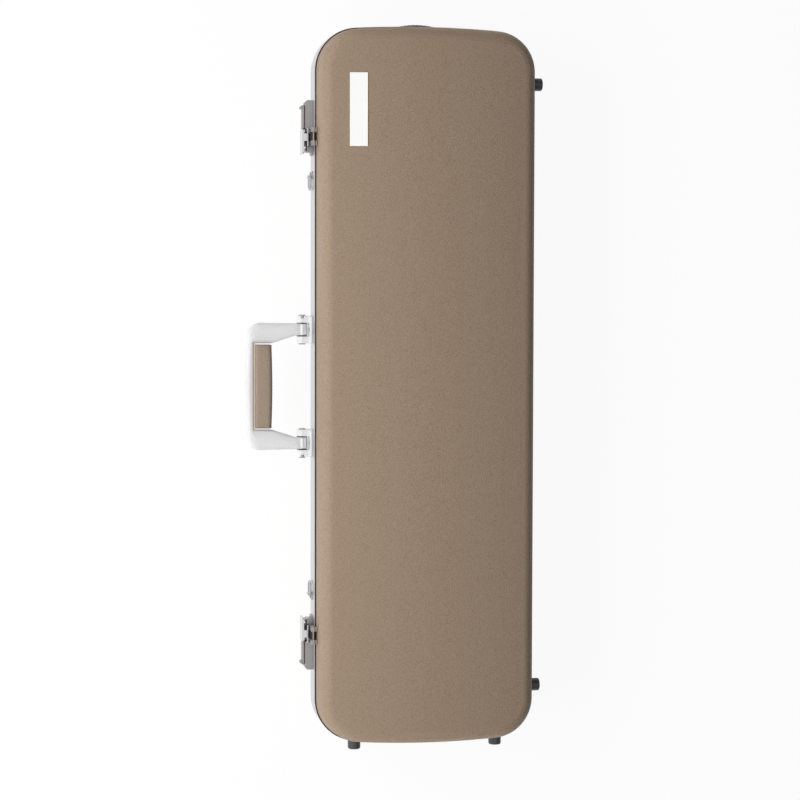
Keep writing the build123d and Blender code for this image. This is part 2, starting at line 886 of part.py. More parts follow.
# End handle: a sprung strap in an arch, between two screwed mounts on the upper end
end_wall = upper_end
end_handle_height = body_wall_start - end_handle_drop
strap_low = end_handle_height - end_handle_width / 2
with BuildPart() as end_handle:
    with BuildSketch(Plane.XY.offset(strap_low)):
        with BuildLine():
            outer = ThreePointArc(
                (end_wall - end_handle_rise + end_handle_sag, -end_handle_span / 2),
                (end_wall - end_handle_rise, 0),
                (end_wall - end_handle_rise + end_handle_sag, end_handle_span / 2),
            )
            inner = ThreePointArc(
                (end_wall - end_handle_rise + end_handle_sag + end_handle_strap,
                 -end_handle_span / 2),
                (end_wall - end_handle_rise + end_handle_strap, 0),
                (end_wall - end_handle_rise + end_handle_sag + end_handle_strap,
                 end_handle_span / 2),
            )
            Line(outer @ 0, inner @ 0)
            Line(outer @ 1, inner @ 1)
        make_face()
    extrude(amount=end_handle_width)
    add(body_outside, mode=Mode.SUBTRACT)
end_handle.part.label = "end_handle"
export_step(end_handle.part, "parts/end_handle.step")

mount_face = end_wall - end_mount_depth
with BuildPart() as end_mounts:
    for side in (-1, 1):
        inner_y = side * end_handle_span / 2
        block(
            (mount_face, inner_y, end_handle_height - end_mount_height / 2),
            (end_wall + end_mount_seat, inner_y + side * end_mount_width,
             end_handle_height + end_mount_height / 2),
        )
    fillet(end_mounts.faces().group_by(Axis.X)[0].edges(), end_mount_edge)
    for side in (-1, 1):
        middle_y = side * (end_handle_span + end_mount_width) / 2
        rod((mount_face, middle_y, end_handle_height), (1, 0, 0),
            end_screw_radius + rivet_clearance, end_mount_seat, mode=Mode.SUBTRACT)
    add(body_outside, mode=Mode.SUBTRACT)
end_mounts.part.label = "end_handle_mounts"
export_step(end_mounts.part, "parts/end_handle_mounts.step")

with BuildPart() as end_screws:
    for side in (-1, 1):
        middle_y = side * (end_handle_span + end_mount_width) / 2
        rod((mount_face, middle_y, end_handle_height), (1, 0, 0), end_screw_radius,
            end_screw_length)
        rod((mount_face, middle_y, end_handle_height), (-1, 0, 0), end_screw_head_radius,
            end_screw_head)
end_screws.part.label = "end_handle_screws"
export_step(end_screws.part, "parts/end_handle_screws.step")

# Floor pad inside the body
pad_outline = rim_outline(-pad_inset)
with BuildPart() as floor_pad:
    with BuildSketch(Plane.XY.offset(shell_wall)):
        add(pad_outline)
    extrude(amount=pad_top - shell_wall)
floor_pad.part.label = "floor_pad"
export_step(floor_pad.part, "parts/floor_pad.step")

# Lining of the body: a thin shell on its walls, under the frame's inner lip and round the pad
body_lining_outer = body_form(shell_wall + lining_gap, body_frame_low - lining_gap)
body_space = body_form(shell_wall + lining_gap + lining_thickness, parting_height)
pad_hole = rim_outline(lining_gap - pad_inset)
with BuildPart() as body_lining:
    add(body_lining_outer)
    add(body_space, mode=Mode.SUBTRACT)
    with BuildSketch():
        add(pad_hole)
    extrude(amount=pad_top, mode=Mode.SUBTRACT)
body_lining.part.label = "body_lining"
export_step(body_lining.part, "parts/body_lining.step")

# Foam blocks with the violin's outline cut through them. Each share pair is a place along
# the violin from its lower end, and the half width there.
body_inside = body_form(inner_inset, parting_height)
foam_top = parting_height - foam_drop
violin_lower_end = lower_end - violin_end_space
violin_upper_end = violin_lower_end - violin_length
violin_half_width = case_width / 2 - violin_side_space
foam_seam = violin_lower_end - foam_seam_inset
foam_upper_end = violin_upper_end - foam_neck_end
outline_shares = ((0.02, 0.45), (0.13, 0.93), (0.24, 1.0), (0.4, 0.76), (0.54, 0.62),
                  (0.68, 0.72), (0.82, 0.84), (0.92, 0.74), (0.98, 0.42))
outline_points = [
    (violin_lower_end - along * violin_length, half * violin_half_width)
    for along, half in outline_shares
]
with BuildPart() as violin_space:
    with BuildSketch(Plane.XY.offset(pad_top - overrun)):
        with BuildLine():
            Spline(
                (violin_lower_end, 0), *outline_points, (violin_upper_end, 0),
                tangents=((0, 1), (0, -1)),
            )
            mirror(about=Plane.XZ)
        make_face()
    extrude(amount=case_height)
    block(
        (violin_lower_end - violin_length / 2, -neck_slot_width / 2, pad_top - overrun),
        (foam_upper_end - overrun, neck_slot_width / 2, case_height),
    )


def foam_block(start, end):
    """One foam block of the body, between two places along the case."""
    with BuildPart() as foam:
        add(body_inside)
        block((start, -case_width, pad_top), (end, case_width, foam_top), mode=Mode.INTERSECT)
        add(violin_space.part, mode=Mode.SUBTRACT)
    return foam.part


upper_foam = foam_block(foam_upper_end, foam_seam)
upper_foam.label = "upper_foam_block"
export_step(upper_foam, "parts/upper_foam_block.step")

lower_foam = foam_block(foam_seam + lining_gap, case_length)
lower_foam.label = "lower_foam_block"
export_step(lower_foam, "parts/lower_foam_block.step")

# Neck cradle: a block with a round groove for the violin's neck, and a strap over it
cradle_start = violin_upper_end - cradle_gap - cradle_length
cradle_top = parting_height - cradle_drop
with BuildPart() as neck_cradle:
    block(
        (cradle_start, -cradle_width / 2, pad_top),
        (cradle_start + cradle_length, cradle_width / 2, cradle_top),
    )
    rod((cradle_start - overrun, 0, cradle_top), (1, 0, 0), neck_groove_radius,
        cradle_length + 2 * overrun, mode=Mode.SUBTRACT)
    fillet(neck_cradle.edges().filter_by(Axis.Z), neck_groove_radius / 4)
neck_cradle.part.label = "neck_cradle"
export_step(neck_cradle.part, "parts/neck_cradle.step")

strap_half = cradle_width / 2 - strap_foot_inset
strap_start = cradle_start + (cradle_length - strap_width) / 2
with BuildPart() as neck_strap:
    with BuildSketch(Plane.YZ.offset(strap_start)):
        with BuildLine():
            outer = ThreePointArc(
                (-strap_half, cradle_top), (0, cradle_top + strap_rise), (strap_half, cradle_top)
            )
            inner = ThreePointArc(
                (-strap_half + strap_thickness, cradle_top),
                (0, cradle_top + strap_rise - strap_thickness),
                (strap_half - strap_thickness, cradle_top),
            )
            Line(outer @ 0, inner @ 0)
            Line(outer @ 1, inner @ 1)
        make_face()
    extrude(amount=strap_width)
neck_strap.part.label = "neck_strap"
export_step(neck_strap.part, "parts/neck_strap.step")

# Accessory tray at the upper end, with a flap that turns on a pin by the tray's inner wall
tray_end = upper_end + tray_length
tray_top = parting_height - tray_drop
flap_axis_x = tray_end + flap_axis_standoff
flap_axis_z = tray_top + moving_gap + flap_thickness / 2
tray_inside = body_form(inner_inset + tray_wall, parting_height)
with BuildPart() as tray_hollow:
    add(tray_inside)
    block((-case_length, -case_width, pad_top + tray_wall),
          (tray_end - tray_wall, case_width, case_height), mode=Mode.INTERSECT)
with BuildPart() as accessory_tray:
    add(body_inside)
    block((-case_length, -case_width, pad_top), (tray_end, case_width, tray_top),
          mode=Mode.INTERSECT)
    add(tray_hollow.part, mode=Mode.SUBTRACT)
    for side in (-1, 1):
        lug_y = side * (flap_barrel_length / 2 + moving_gap)
        rod((flap_axis_x, lug_y, flap_axis_z), (0, side, 0), flap_barrel_radius,
            flap_lug_length)
        block(
            (tray_end, lug_y, tray_top - flap_lug_length),
            (flap_axis_x + flap_barrel_radius, lug_y + side * flap_lug_length, flap_axis_z),
        )
    rod((flap_axis_x, -case_width / 2, flap_axis_z), (0, 1, 0),
        flap_pin_radius + pin_clearance, case_width, mode=Mode.SUBTRACT)
accessory_tray.part.label = "accessory_tray"
export_step(accessory_tray.part, "parts/accessory_tray.step")

pin_half = flap_barrel_length / 2 + moving_gap + flap_lug_length
with BuildPart() as flap_pin:
    rod((flap_axis_x, -pin_half, flap_axis_z), (0, 1, 0), flap_pin_radius, 2 * pin_half)
flap_pin.part.label = "accessory_flap_pin"
export_step(flap_pin.part, "parts/accessory_flap_pin.step")

flap_outline = rim_outline(-inner_inset - moving_gap)
flap_low = tray_top + moving_gap
with BuildPart() as accessory_flap:
    with BuildSketch(Plane.XY.offset(flap_low)):
        add(flap_outline)
    extrude(amount=flap_thickness)
    block((-case_length, -case_width, flap_low), (tray_end, case_width, case_height),
          mode=Mode.INTERSECT)
    block((tray_end, -flap_barrel_length / 2, flap_low),
          (flap_axis_x, flap_barrel_length / 2, flap_low + flap_thickness))
    rod((flap_axis_x, -flap_barrel_length / 2, flap_axis_z), (0, 1, 0), flap_barrel_radius,
        flap_barrel_length)
    rod((flap_axis_x, -case_width / 2, flap_axis_z), (0, 1, 0),
        flap_pin_radius + pin_clearance, case_width, mode=Mode.SUBTRACT)
accessory_flap.part.label = "accessory_flap"
export_step(accessory_flap.part, "parts/accessory_flap.step")

tab_start = -case_length / 2 + inner_inset + tab_inset
with BuildPart() as flap_tab:
    block(
        (tab_start, -tab_width / 2, flap_low + flap_thickness),
        (tab_start + tab_length, tab_width / 2, flap_low + flap_thickness + tab_thickness),
    )
    fillet(flap_tab.edges().filter_by(Axis.Z), tab_width / 4)
flap_tab.part.label = "accessory_flap_tab"
export_step(flap_tab.part, "parts/accessory_flap_tab.step")

# Lining of the lid, a thin shell inside the lid shell
lining_outer = lid_form(shell_wall + lining_gap, lid_frame_top + lining_gap)
lid_space = lid_form(shell_wall + lining_gap + lining_thickness, lid_frame_top - overrun)
with BuildPart() as lid_lining:
    add(lining_outer)
    add(lid_space, mode=Mode.SUBTRACT)
lid_lining.part.label = "lid_lining"
export_step(lid_lining.part, "parts/lid_lining.step")

# Bow spinners: a base on the lining, and a bar on a stub that turns in it
spinner_position = lower_end - spinner_end_inset
spinner_base_low = case_height - spinner_base_drop
with BuildPart() as spinner_bases:
    for side in (-1, 1):
        rod((spinner_position, side * spinner_spread / 2, spinner_base_low), (0, 0, 1),
            spinner_base_radius, case_height - spinner_base_low)
    add(lid_space, mode=Mode.INTERSECT)
    for side in (-1, 1):
        rod((spinner_position, side * spinner_spread / 2, spinner_base_low - overrun),
            (0, 0, 1), spinner_stub_radius + pin_clearance,
            overrun + spinner_stub_length + moving_gap, mode=Mode.SUBTRACT)
spinner_bases.part.label = "bow_spinner_bases"
export_step(spinner_bases.part, "parts/bow_spinner_bases.step")

bar_top = spinner_base_low - spinner_drop
for side, name in ((-1, "front"), (1, "rear")):
    spot = (spinner_position, side * spinner_spread / 2)
    with BuildPart() as spinner:
        with BuildSketch(Plane.XY.offset(bar_top - spinner_thickness)):
            with Locations(spot):
                SlotOverall(spinner_length, spinner_width, rotation=90)
        extrude(amount=spinner_thickness)
        low_face = spinner.faces().sort_by(Axis.Z)[0]
        fillet(low_face.edges(), spinner_edge)
        rod((*spot, bar_top), (0, 0, 1), spinner_neck_radius, spinner_drop - moving_gap)
        rod((*spot, bar_top), (0, 0, 1), spinner_stub_radius,
            spinner_drop + spinner_stub_length)
    spinner.part.label = f"bow_spinner_{name}"
    export_step(spinner.part, f"parts/bow_spinner_{name}.step")

# Holders for the tips of the bows
tip_holder_position = upper_end + tip_holder_end_inset
tip_holder_low = case_height - tip_holder_drop
with BuildPart() as tip_holders:
    for side in (-1, 1):
        middle_y = side * spinner_spread / 2
        block(
            (tip_holder_position - tip_holder_length / 2, middle_y - tip_holder_width / 2,
             tip_holder_low),
            (tip_holder_position + tip_holder_length / 2, middle_y + tip_holder_width / 2,
             case_height),
        )
        block(
            (tip_holder_position - tip_holder_length, middle_y - tip_slot_width / 2,
             tip_holder_low + tip_slot_floor),
            (tip_holder_position + tip_holder_length, middle_y + tip_slot_width / 2,
             tip_holder_low + tip_slot_floor + tip_slot_height),
            mode=Mode.SUBTRACT,
        )
    add(lid_space, mode=Mode.INTERSECT)
tip_holders.part.label = "bow_tip_holders"
export_step(tip_holders.part, "parts/bow_tip_holders.step")

# Blank plate on the lid, following its crown
plate_middle = upper_end + plate_end_inset
plate_across = -case_width / 2 + plate_side_inset
plate_top = lid_form(-plate_thickness, lid_frame_top)
plate_back = lid_form(-rivet_clearance, lid_rim)
with BuildPart() as blank_plate:
    block(
        (plate_middle - plate_length / 2, plate_across - plate_width / 2, parting_height),
        (plate_middle + plate_length / 2, plate_across + plate_width / 2,
         case_height + overrun),
    )
    add(plate_top, mode=Mode.INTERSECT)
    add(plate_back, mode=Mode.SUBTRACT)
blank_plate.part.label = "blank_plate"
export_step(blank_plate.part, "parts/blank_plate.step")
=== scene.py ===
"""The looks of an oblong violin case: leatherette, aluminium, rubber and plush.

Lengths are in metres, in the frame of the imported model: X runs along the case, the latches
and the handle are at -Y, the hinges at +Y, and Z is up through the lid.
"""

import math

import bmesh
import bpy
from mathutils import Matrix, Vector
from mathutils.kdtree import KDTree


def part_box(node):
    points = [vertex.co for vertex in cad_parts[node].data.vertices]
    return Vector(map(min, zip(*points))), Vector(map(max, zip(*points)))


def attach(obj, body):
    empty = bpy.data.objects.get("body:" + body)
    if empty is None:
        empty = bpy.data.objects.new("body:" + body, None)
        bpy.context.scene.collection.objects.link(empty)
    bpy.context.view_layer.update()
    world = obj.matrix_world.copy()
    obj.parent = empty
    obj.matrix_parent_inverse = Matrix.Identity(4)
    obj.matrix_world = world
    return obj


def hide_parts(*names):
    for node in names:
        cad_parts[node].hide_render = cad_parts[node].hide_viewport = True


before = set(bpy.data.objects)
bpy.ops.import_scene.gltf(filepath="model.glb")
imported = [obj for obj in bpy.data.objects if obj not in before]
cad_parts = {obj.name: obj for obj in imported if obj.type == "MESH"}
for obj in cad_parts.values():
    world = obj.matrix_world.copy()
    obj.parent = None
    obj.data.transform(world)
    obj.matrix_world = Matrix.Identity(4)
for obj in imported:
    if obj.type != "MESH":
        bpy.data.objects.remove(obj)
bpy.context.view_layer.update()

# Camera: above the case and a little to the side of its latches, with the case's upper end
# at the top of the picture. Its place and lens give the photograph's view.
camera_place = Vector((-0.1018, -0.4493, 2.5173))
camera_aim = Vector((0.01367, -0.03061, 0.12))
picture_up = Vector((-0.99887, 0.00600, -0.04706))
backward = (camera_place - camera_aim).normalized()
rightward = picture_up.cross(backward).normalized()
camera_turn = Matrix((rightward, backward.cross(rightward), backward)).transposed()
lens = bpy.data.cameras.new("camera")
lens.sensor_width = 36
lens.lens = 100.58
camera = bpy.data.objects.new("camera", lens)
bpy.context.scene.collection.objects.link(camera)
camera.matrix_world = Matrix.Translation(camera_place) @ camera_turn.to_4x4()
bpy.context.scene.camera = camera
bpy.context.scene.view_settings.view_transform = "Standard"


# Lid and body shells: moulded shells covered with leatherette, a polyurethane film with a
# printed pebble grain on cloth. It is glued on and tucked in under the rubber trims.
def linear(hex_colour):
    """A colour written as sRGB hex, as linear red, green, blue and alpha."""
    shares = [int(hex_colour[i:i + 2], 16) / 255 for i in (1, 3, 5)]
    return (*(s / 12.92 if s <= 0.04045 else ((s + 0.055) / 1.055) ** 2.4 for s in shares), 1)


def new_material(name):
    """A material with no nodes in it yet."""
    material = bpy.data.materials.new(name)
    material.use_nodes = True
    material.node_tree.nodes.clear()
    return material


def add_node(material, kind, inputs=None, **settings):
    """Adds a shader node. An input that is given another node's socket is linked to it."""
    made = material.node_tree.nodes.new("ShaderNode" + kind)
    for name, value in settings.items():
        setattr(made, name, value)
    for name, value in (inputs or {}).items():
        if isinstance(value, bpy.types.NodeSocket):
            material.node_tree.links.new(value, made.inputs[name])
        else:
            made.inputs[name].default_value = value
    return made


def dress(material, *nodes):
    """Gives CAD nodes a material."""
    for name in nodes:
        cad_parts[name].data.materials.clear()
        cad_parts[name].data.materials.append(material)


def finished(material, height, strength, distance, surface, invert=False):
    """Ends a material with a relief on a principled surface."""
    relief = add_node(material, "Bump", {"Strength": strength, "Distance": distance,
                                         "Height": height}, invert=invert)
    made = add_node(material, "BsdfPrincipled", {**surface, "Normal": relief.outputs[0]})
    add_node(material, "OutputMaterial", {"Surface": made.outputs[0]})
    return material


def leather(name, high, low, pebble, relief, roughness):
    """Grained leather or leatherette: pebbles, with painted shade in the creases between them.
    """
    material = new_material(name)
    place = add_node(material, "TexCoord").outputs["Object"]
    drift = add_node(material, "TexNoise", {"Vector": place, "Scale": 0.4 / pebble})
    bent = add_node(material, "Mix", {0: pebble / 2, 4: place, 5: drift.outputs["Color"]},
                    data_type="VECTOR")
    pebbles = add_node(material, "TexVoronoi", {"Vector": bent.outputs[1], "Scale": 1 / pebble,
                                                "Smoothness": 0.35}, feature="SMOOTH_F1")
    mottle = add_node(material, "TexNoise", {"Vector": place, "Scale": 0.12 / pebble,
                                             "Detail": 5})
    crease = add_node(material, "MapRange", {"Value": pebbles.outputs["Distance"],
                                             "From Min": 0.25, "From Max": 0.75})
    evened = add_node(material, "MapRange", {"Value": mottle.outputs[0], "To Min": 0.35,
                                             "To Max": 0.75})
    # Painted shade: the creases between the pebbles are darkened in colour, more in random
    # patches.
    shade = add_node(material, "Math", {0: crease.outputs[0], 1: evened.outputs[0]},
                     operation="MULTIPLY")
    colour = add_node(material, "Mix", {0: shade.outputs[0], 6: linear(high), 7: linear(low)},
                      data_type="RGBA")
    polish = add_node(material, "MapRange", {"Value": crease.outputs[0], "To Min": roughness,
                                             "To Max": roughness + 0.15})
    return finished(material, crease.outputs[0], relief, pebble / 5, {
        "Base Color": colour.outputs[2], "Roughness": polish.outputs[0], "IOR": 1.5},
        invert=True)


# The pebbles of this film are about 1 mm wide. Here they are coarser, so that they show.
shell_leatherette = leather("pebbled_leatherette", "#9A8673", "#85725F", 0.0014, 0.3, 0.52)
dress(shell_leatherette, "lid_shell", "body_shell")


# Rim frames: extruded aluminium, bent round the case and anodised in a satin silver. The
# extrusion leaves faint lines along it. Rubber trims and a gasket are pressed in beside it.
def metal(name, colour, roughness, grain, stretch, wear):
    """A bare or plated metal with a fine grain, which can be drawn out along X."""
    material = new_material(name)
    place = add_node(material, "TexCoord").outputs["Object"]
    drawn = add_node(material, "Mapping", {"Vector": place, "Scale": (1 / stretch, 1, 1)})
    lines = add_node(material, "TexNoise", {"Vector": drawn.outputs[0], "Scale": 1 / grain,
                                            "Detail": 3})
    smears = add_node(material, "TexNoise", {"Vector": place, "Scale": 60, "Detail": 4})
    tone = add_node(material, "MapRange", {"Value": smears.outputs[0], "To Min": 1,
                                           "To Max": 1 - wear})
    colour_node = add_node(material, "Mix", {0: 1, 6: linear(colour), 7: tone.outputs[0]},
                           data_type="RGBA", blend_type="MULTIPLY")
    polish = add_node(material, "MapRange", {"Value": lines.outputs[0],
                                             "To Min": roughness - 0.06,
                                             "To Max": roughness + 0.08})
    return finished(material, lines.outputs[0], 0.12, grain / 4, {
        "Base Color": colour_node.outputs[2], "Metallic": 1, "Roughness": polish.outputs[0]})


def rubber(name, colour, worn, roughness, grain):
    """Moulded rubber or hard plastic, with the fine spark-eroded grain of its mould."""
    material = new_material(name)
    place = add_node(material, "TexCoord").outputs["Object"]
    grit = add_node(material, "TexNoise", {"Vector": place, "Scale": 1 / grain, "Detail": 2})
    bloom = add_node(material, "TexNoise", {"Vector": place, "Scale": 90, "Detail": 4})
    colour_node = add_node(material, "Mix", {0: bloom.outputs[0], 6: linear(colour),
                                             7: linear(worn)}, data_type="RGBA")
    polish = add_node(material, "MapRange", {"Value": bloom.outputs[0], "To Min": roughness,
                                             "To Max": roughness + 0.2})
    return finished(material, grit.outputs[0], 0.15, grain / 3, {
        "Base Color": colour_node.outputs[2], "Roughness": polish.outputs[0], "IOR": 1.52})


# Satin anodised aluminium: pale and even, with soft reflections.
anodised_aluminium = metal("satin_anodised_aluminium", "#DFDEE4", 0.38, 0.0006, 40, 0.06)
dress(anodised_aluminium, "lid_frame", "body_frame")
# Black EPDM rubber: dull, a little grey where it is handled.
trim_rubber = rubber("black_epdm_rubber", "#141112", "#242122", 0.6, 0.0004)
dress(trim_rubber, "lid_trim", "body_trim", "gasket")

# Hinges: nickel-plated steel leaves let into the frames, riveted on, with rolled knuckles
# that turn on a steel pin.
nickel_plate = metal("nickel_plated_steel", "#C9C5BE", 0.28, 0.0005, 6, 0.1)
dress(nickel_plate, "hinge_leaves_lid", "hinge_leaves_body", "hinge_pins",
      "hinge_rivets_lid", "hinge_rivets_body")


# Feet: round studs of glossy black rubber, each held by a screw sunk in its middle.
def add_piece(name, points, faces, body, slot, material, sharp_degrees=180):
    """A mesh piece with smooth shading, which rides on a CAD body."""
    mesh = bpy.data.meshes.new(name)
    mesh.from_pydata([tuple(p) for p in points], [], faces)
    shape = bmesh.new()
    shape.from_mesh(mesh)
    bmesh.ops.remove_doubles(shape, verts=shape.verts, dist=1e-6)
    bmesh.ops.recalc_face_normals(shape, faces=shape.faces)
    shape.to_mesh(mesh)
    shape.free()
    mesh.polygons.foreach_set("use_smooth", [True] * len(mesh.polygons))
    mesh.set_sharp_from_angle(angle=math.radians(sharp_degrees))
    mesh.materials.append(material)
    piece = bpy.data.objects.new(name, mesh)
    bpy.context.scene.collection.objects.link(piece)
    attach(piece, body)
    return piece


def circle(radius, height, sides):
    """Points of a level circle round the Z axis."""
    turns = [2 * math.pi * i / sides for i in range(sides)]
    return [Vector((radius * math.cos(a), radius * math.sin(a), height)) for a in turns]


def screw_head(place, outward, profile, cross, depth):
    """Points and faces of a screw head with a cross recess. The profile runs from the rim of
    its top face down, as radius and height pairs."""
    sides = 32
    shape = bmesh.new()
    ring = [shape.verts.new(p) for p in circle(*profile[0], sides)]
    arm, half = cross
    corners = [(arm, half), (half, half), (half, arm)]
    outline = []
    for quarter in range(4):
        for x, y in corners:
            spin = Matrix.Rotation(quarter * math.pi / 2, 3, "Z") @ Vector((x, y, 0))
            outline.append(spin + Vector((0, 0, profile[0][1])))
    upper = [shape.verts.new(p) for p in outline]
    lower = [shape.verts.new(p - Vector((0, 0, depth))) for p in outline]
    edges = [shape.edges.new((a[i], a[(i + 1) % len(a)]))
             for a in (ring, upper) for i in range(len(a))]
    bmesh.ops.triangle_fill(shape, use_beauty=True, edges=edges)
    for i in range(len(upper)):
        j = (i + 1) % len(upper)
        shape.faces.new((upper[i], upper[j], lower[j], lower[i]))
    shape.faces.new(lower)
    for radius, height in profile[1:]:
        below = [shape.verts.new(p) for p in circle(radius, height, sides)]
        for i in range(sides):
            j = (i + 1) % sides
            shape.faces.new((ring[i], ring[j], below[j], below[i]))
        ring = below
    shape.faces.new(ring)
    turned = outward.to_track_quat("Z", "Y").to_matrix().to_4x4()
    shape.transform(Matrix.Translation(place) @ turned)
    shape.verts.index_update()
    points = [v.co.copy() for v in shape.verts]
    faces = [[v.index for v in f.verts] for f in shape.faces]
    shape.free()
    return points, faces


def joined(shapes):
    """Several lists of points and faces as one."""
    points, faces = [], []
    for more_points, more_faces in shapes:
        start = len(points)
        points += more_points
        faces += [[start + i for i in face] for face in more_faces]
    return points, faces


# Moulded thermoplastic rubber: nearly black, glossy from a polished mould.
foot_rubber = rubber("glossy_black_rubber", "#302F32", "#535257", 0.3, 0.0005)
dress(foot_rubber, "lid_feet", "body_feet")
foot_hole_depth = 0.0025
foot_screw = (((0.0021, 0.0009), (0.0024, 0.0006), (0.0024, 0.0)), (0.0014, 0.0003), 0.0006)
spine_foot_x = 0.332
end_foot_y = 0.079
for node, body, name in (("lid_feet", "lid", "lid_foot_screws"),
                         ("body_feet", "case_body", "body_foot_screws")):
    low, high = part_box(node)
    level = (low.z + high.z) / 2
    heads = [screw_head(Vector((side * spine_foot_x, high.y - foot_hole_depth, level)),
                        Vector((0, 1, 0)), *foot_screw) for side in (-1, 1)]
    heads += [screw_head(Vector((high.x - foot_hole_depth, side * end_foot_y, level)),
                         Vector((1, 0, 0)), *foot_screw) for side in (-1, 1)]
    add_piece(name, *joined(heads), body, "hinge_steel", nickel_plate, 35)


# Carrying handle: a flat frame of die-cast aluminium in silver lacquer, turning on steel
# pins in two cast brackets that are screwed to the body's frame.
def rounded_copy(node, name, voxel, rounds, body, slot, material):
    """The CAD solid of a soft or cast piece, remeshed, with its edges rounded."""
    source = bpy.data.objects.new(name + "_source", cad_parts[node].data.copy())
    bpy.context.scene.collection.objects.link(source)
    weld = source.modifiers.new("weld", "WELD")
    weld.merge_threshold = 1e-5
    remesh = source.modifiers.new("remesh", "REMESH")
    remesh.mode = "VOXEL"
    remesh.voxel_size = voxel
    smooth = source.modifiers.new("smooth", "SMOOTH")
    smooth.factor = 0.5
    smooth.iterations = rounds
    view = bpy.context.evaluated_depsgraph_get()
    made = bpy.data.meshes.new_from_object(source.evaluated_get(view))
    bpy.data.objects.remove(source)
    points = [v.co.copy() for v in made.vertices]
    faces = [tuple(p.vertices) for p in made.polygons]
    bpy.data.meshes.remove(made)
    piece = add_piece(name, points, faces, body, slot, material)
    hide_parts(node)
    return piece


def lacquer(name, high, low, flake, roughness):
    """Sprayed lacquer: fine flakes under a varnish that flows into a faint orange peel."""
    material = new_material(name)
    place = add_node(material, "TexCoord").outputs["Object"]
    flakes = add_node(material, "TexVoronoi", {"Vector": place, "Scale": 1 / flake})
    peel = add_node(material, "TexNoise", {"Vector": place, "Scale": 0.2 / flake, "Detail": 1})
    glint = add_node(material, "SeparateColor", {0: flakes.outputs["Color"]})
    colour = add_node(material, "Mix", {0: glint.outputs[0], 6: linear(low), 7: linear(high)},
                      data_type="RGBA")
    polish = add_node(material, "MapRange", {"Value": peel.outputs[0], "To Min": roughness,
                                             "To Max": roughness + 0.1})
    return finished(material, peel.outputs[0], 0.1, flake, {
        "Base Color": colour.outputs[2], "Roughness": polish.outputs[0], "IOR": 1.5})


# Silver lacquer: aluminium flakes of about 0.1 mm, drawn at 0.4 mm. Pale, with a soft shine.
silver_lacquer = lacquer("silver_lacquer", "#DBDBDC", "#CFCFD0", 0.0004, 0.32)
casting = rounded_copy("handle_frame", "handle_frame_casting", 0.0006, 24, "handle",
                       "handle_alloy", silver_lacquer)
# The casting is crowned on both faces, and its bar bows out a little more in the middle.
low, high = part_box("handle_frame")
frame_middle = (low.z + high.z) / 2
frame_half = (high.z - low.z) / 2
frame_crown, crown_reach = 0.0018, 0.0095
bar_depth, bar_bow, bow_reach = 0.0076, 0.0012, 0.06
bow_fade = 0.0015
rim_points = [v.co for v in casting.data.vertices if abs(v.normal.z) < 0.3]
tree = KDTree(len(rim_points))
for i, place in enumerate(rim_points):
    tree.insert((place.x, place.y, 0), i)
tree.balance()
for vertex in casting.data.vertices:
    gap = tree.find((vertex.co.x, vertex.co.y, 0))[2]
    drop = frame_crown * (1 - min(gap / crown_reach, 1)) ** 2
    outer = min(max((low.y + bar_depth + bow_fade - vertex.co.y) / bar_depth, 0), 1)
    vertex.co.y -= bar_bow * outer * max(1 - (vertex.co.x / bow_reach) ** 2, 0)
    vertex.co.z -= drop * (vertex.co.z - frame_middle) / frame_half
# The brackets have the same lacquer. Their pins and screws are plated steel.
for side in ("left", "right"):
    rounded_copy("handle_bracket_" + side, "handle_bracket_casting_" + side, 0.0004, 14,
                 "case_body", "latch_zinc", silver_lacquer)
dress(nickel_plate, "handle_pins")
low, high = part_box("bracket_screws")
head_radius, shank_radius = 0.0029, 0.0016
sunk_head = ((head_radius, 0.0), (shank_radius, -0.0013), (shank_radius, -0.003))
bracket_x = (high.x - head_radius - (low.x + head_radius)) / 2
screw_levels = (low.z + head_radius, high.z - head_radius)
heads = [screw_head(Vector((side * bracket_x, low.y, level)), Vector((0, -1, 0)), sunk_head,
                    (0.0018, 0.00035), 0.001)
         for side in (-1, 1) for level in screw_levels]
screws = add_piece("bracket_screw_heads", *joined(heads), "case_body", "hinge_steel",
                   nickel_plate, 35)
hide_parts("bracket_screws")

# Washers on the handle's pins, between its arms and the ears of the brackets, punched from
# black nylon. They make a dark line in the gaps at the ends of the arms.
# Glass-filled nylon: black and dull, with the even grain of a spark-eroded mould.
black_nylon = rubber("black_nylon", "#1F1F20", "#323233", 0.55, 0.0005)
pin_low, pin_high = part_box("handle_pins")
pin_middle = (pin_low + pin_high) / 2
arm_x, arm_half = 0.0625, 0.0067
washer_bore, washer_radius, washer_thickness = 0.0026, 0.0059, 0.0005
washer_standoff = 0.00035


def loft(rings):
    """Points and faces of a skin over rings with equal numbers of points."""
    count = len(rings[0])
    points = [p for ring in rings for p in ring]
    faces = []
    for k in range(len(rings) - 1):
        for i in range(count):
            j = (i + 1) % count
            faces.append((k * count + i, k * count + j, (k + 1) * count + j,
                          (k + 1) * count + i))
    return points, faces


def washer(place, along, inner, outer, thickness):
    """A flat ring with broken edges, round a point, facing along an axis."""
    turn_to = along.to_track_quat("Z", "Y").to_matrix()
    half, edge = thickness / 2, thickness / 5
    rings = []
    for radius, height in ((inner, -half), (outer - edge, -half), (outer, edge - half),
                           (outer, half - edge), (outer - edge, half), (inner, half)):
        rings.append([place + turn_to @ p for p in circle(radius, height, 48)])
    return loft(rings + rings[:1])


washers = [washer(Vector((side * arm_x + end * (arm_half + washer_standoff), pin_middle.y,
                          pin_middle.z)),
                  Vector((1, 0, 0)), washer_bore, washer_radius, washer_thickness)
           for side in (-1, 1) for end in (-1, 1)]
add_piece("handle_washers", *joined(washers), "case_body", "mount_plastic", black_nylon, 40)


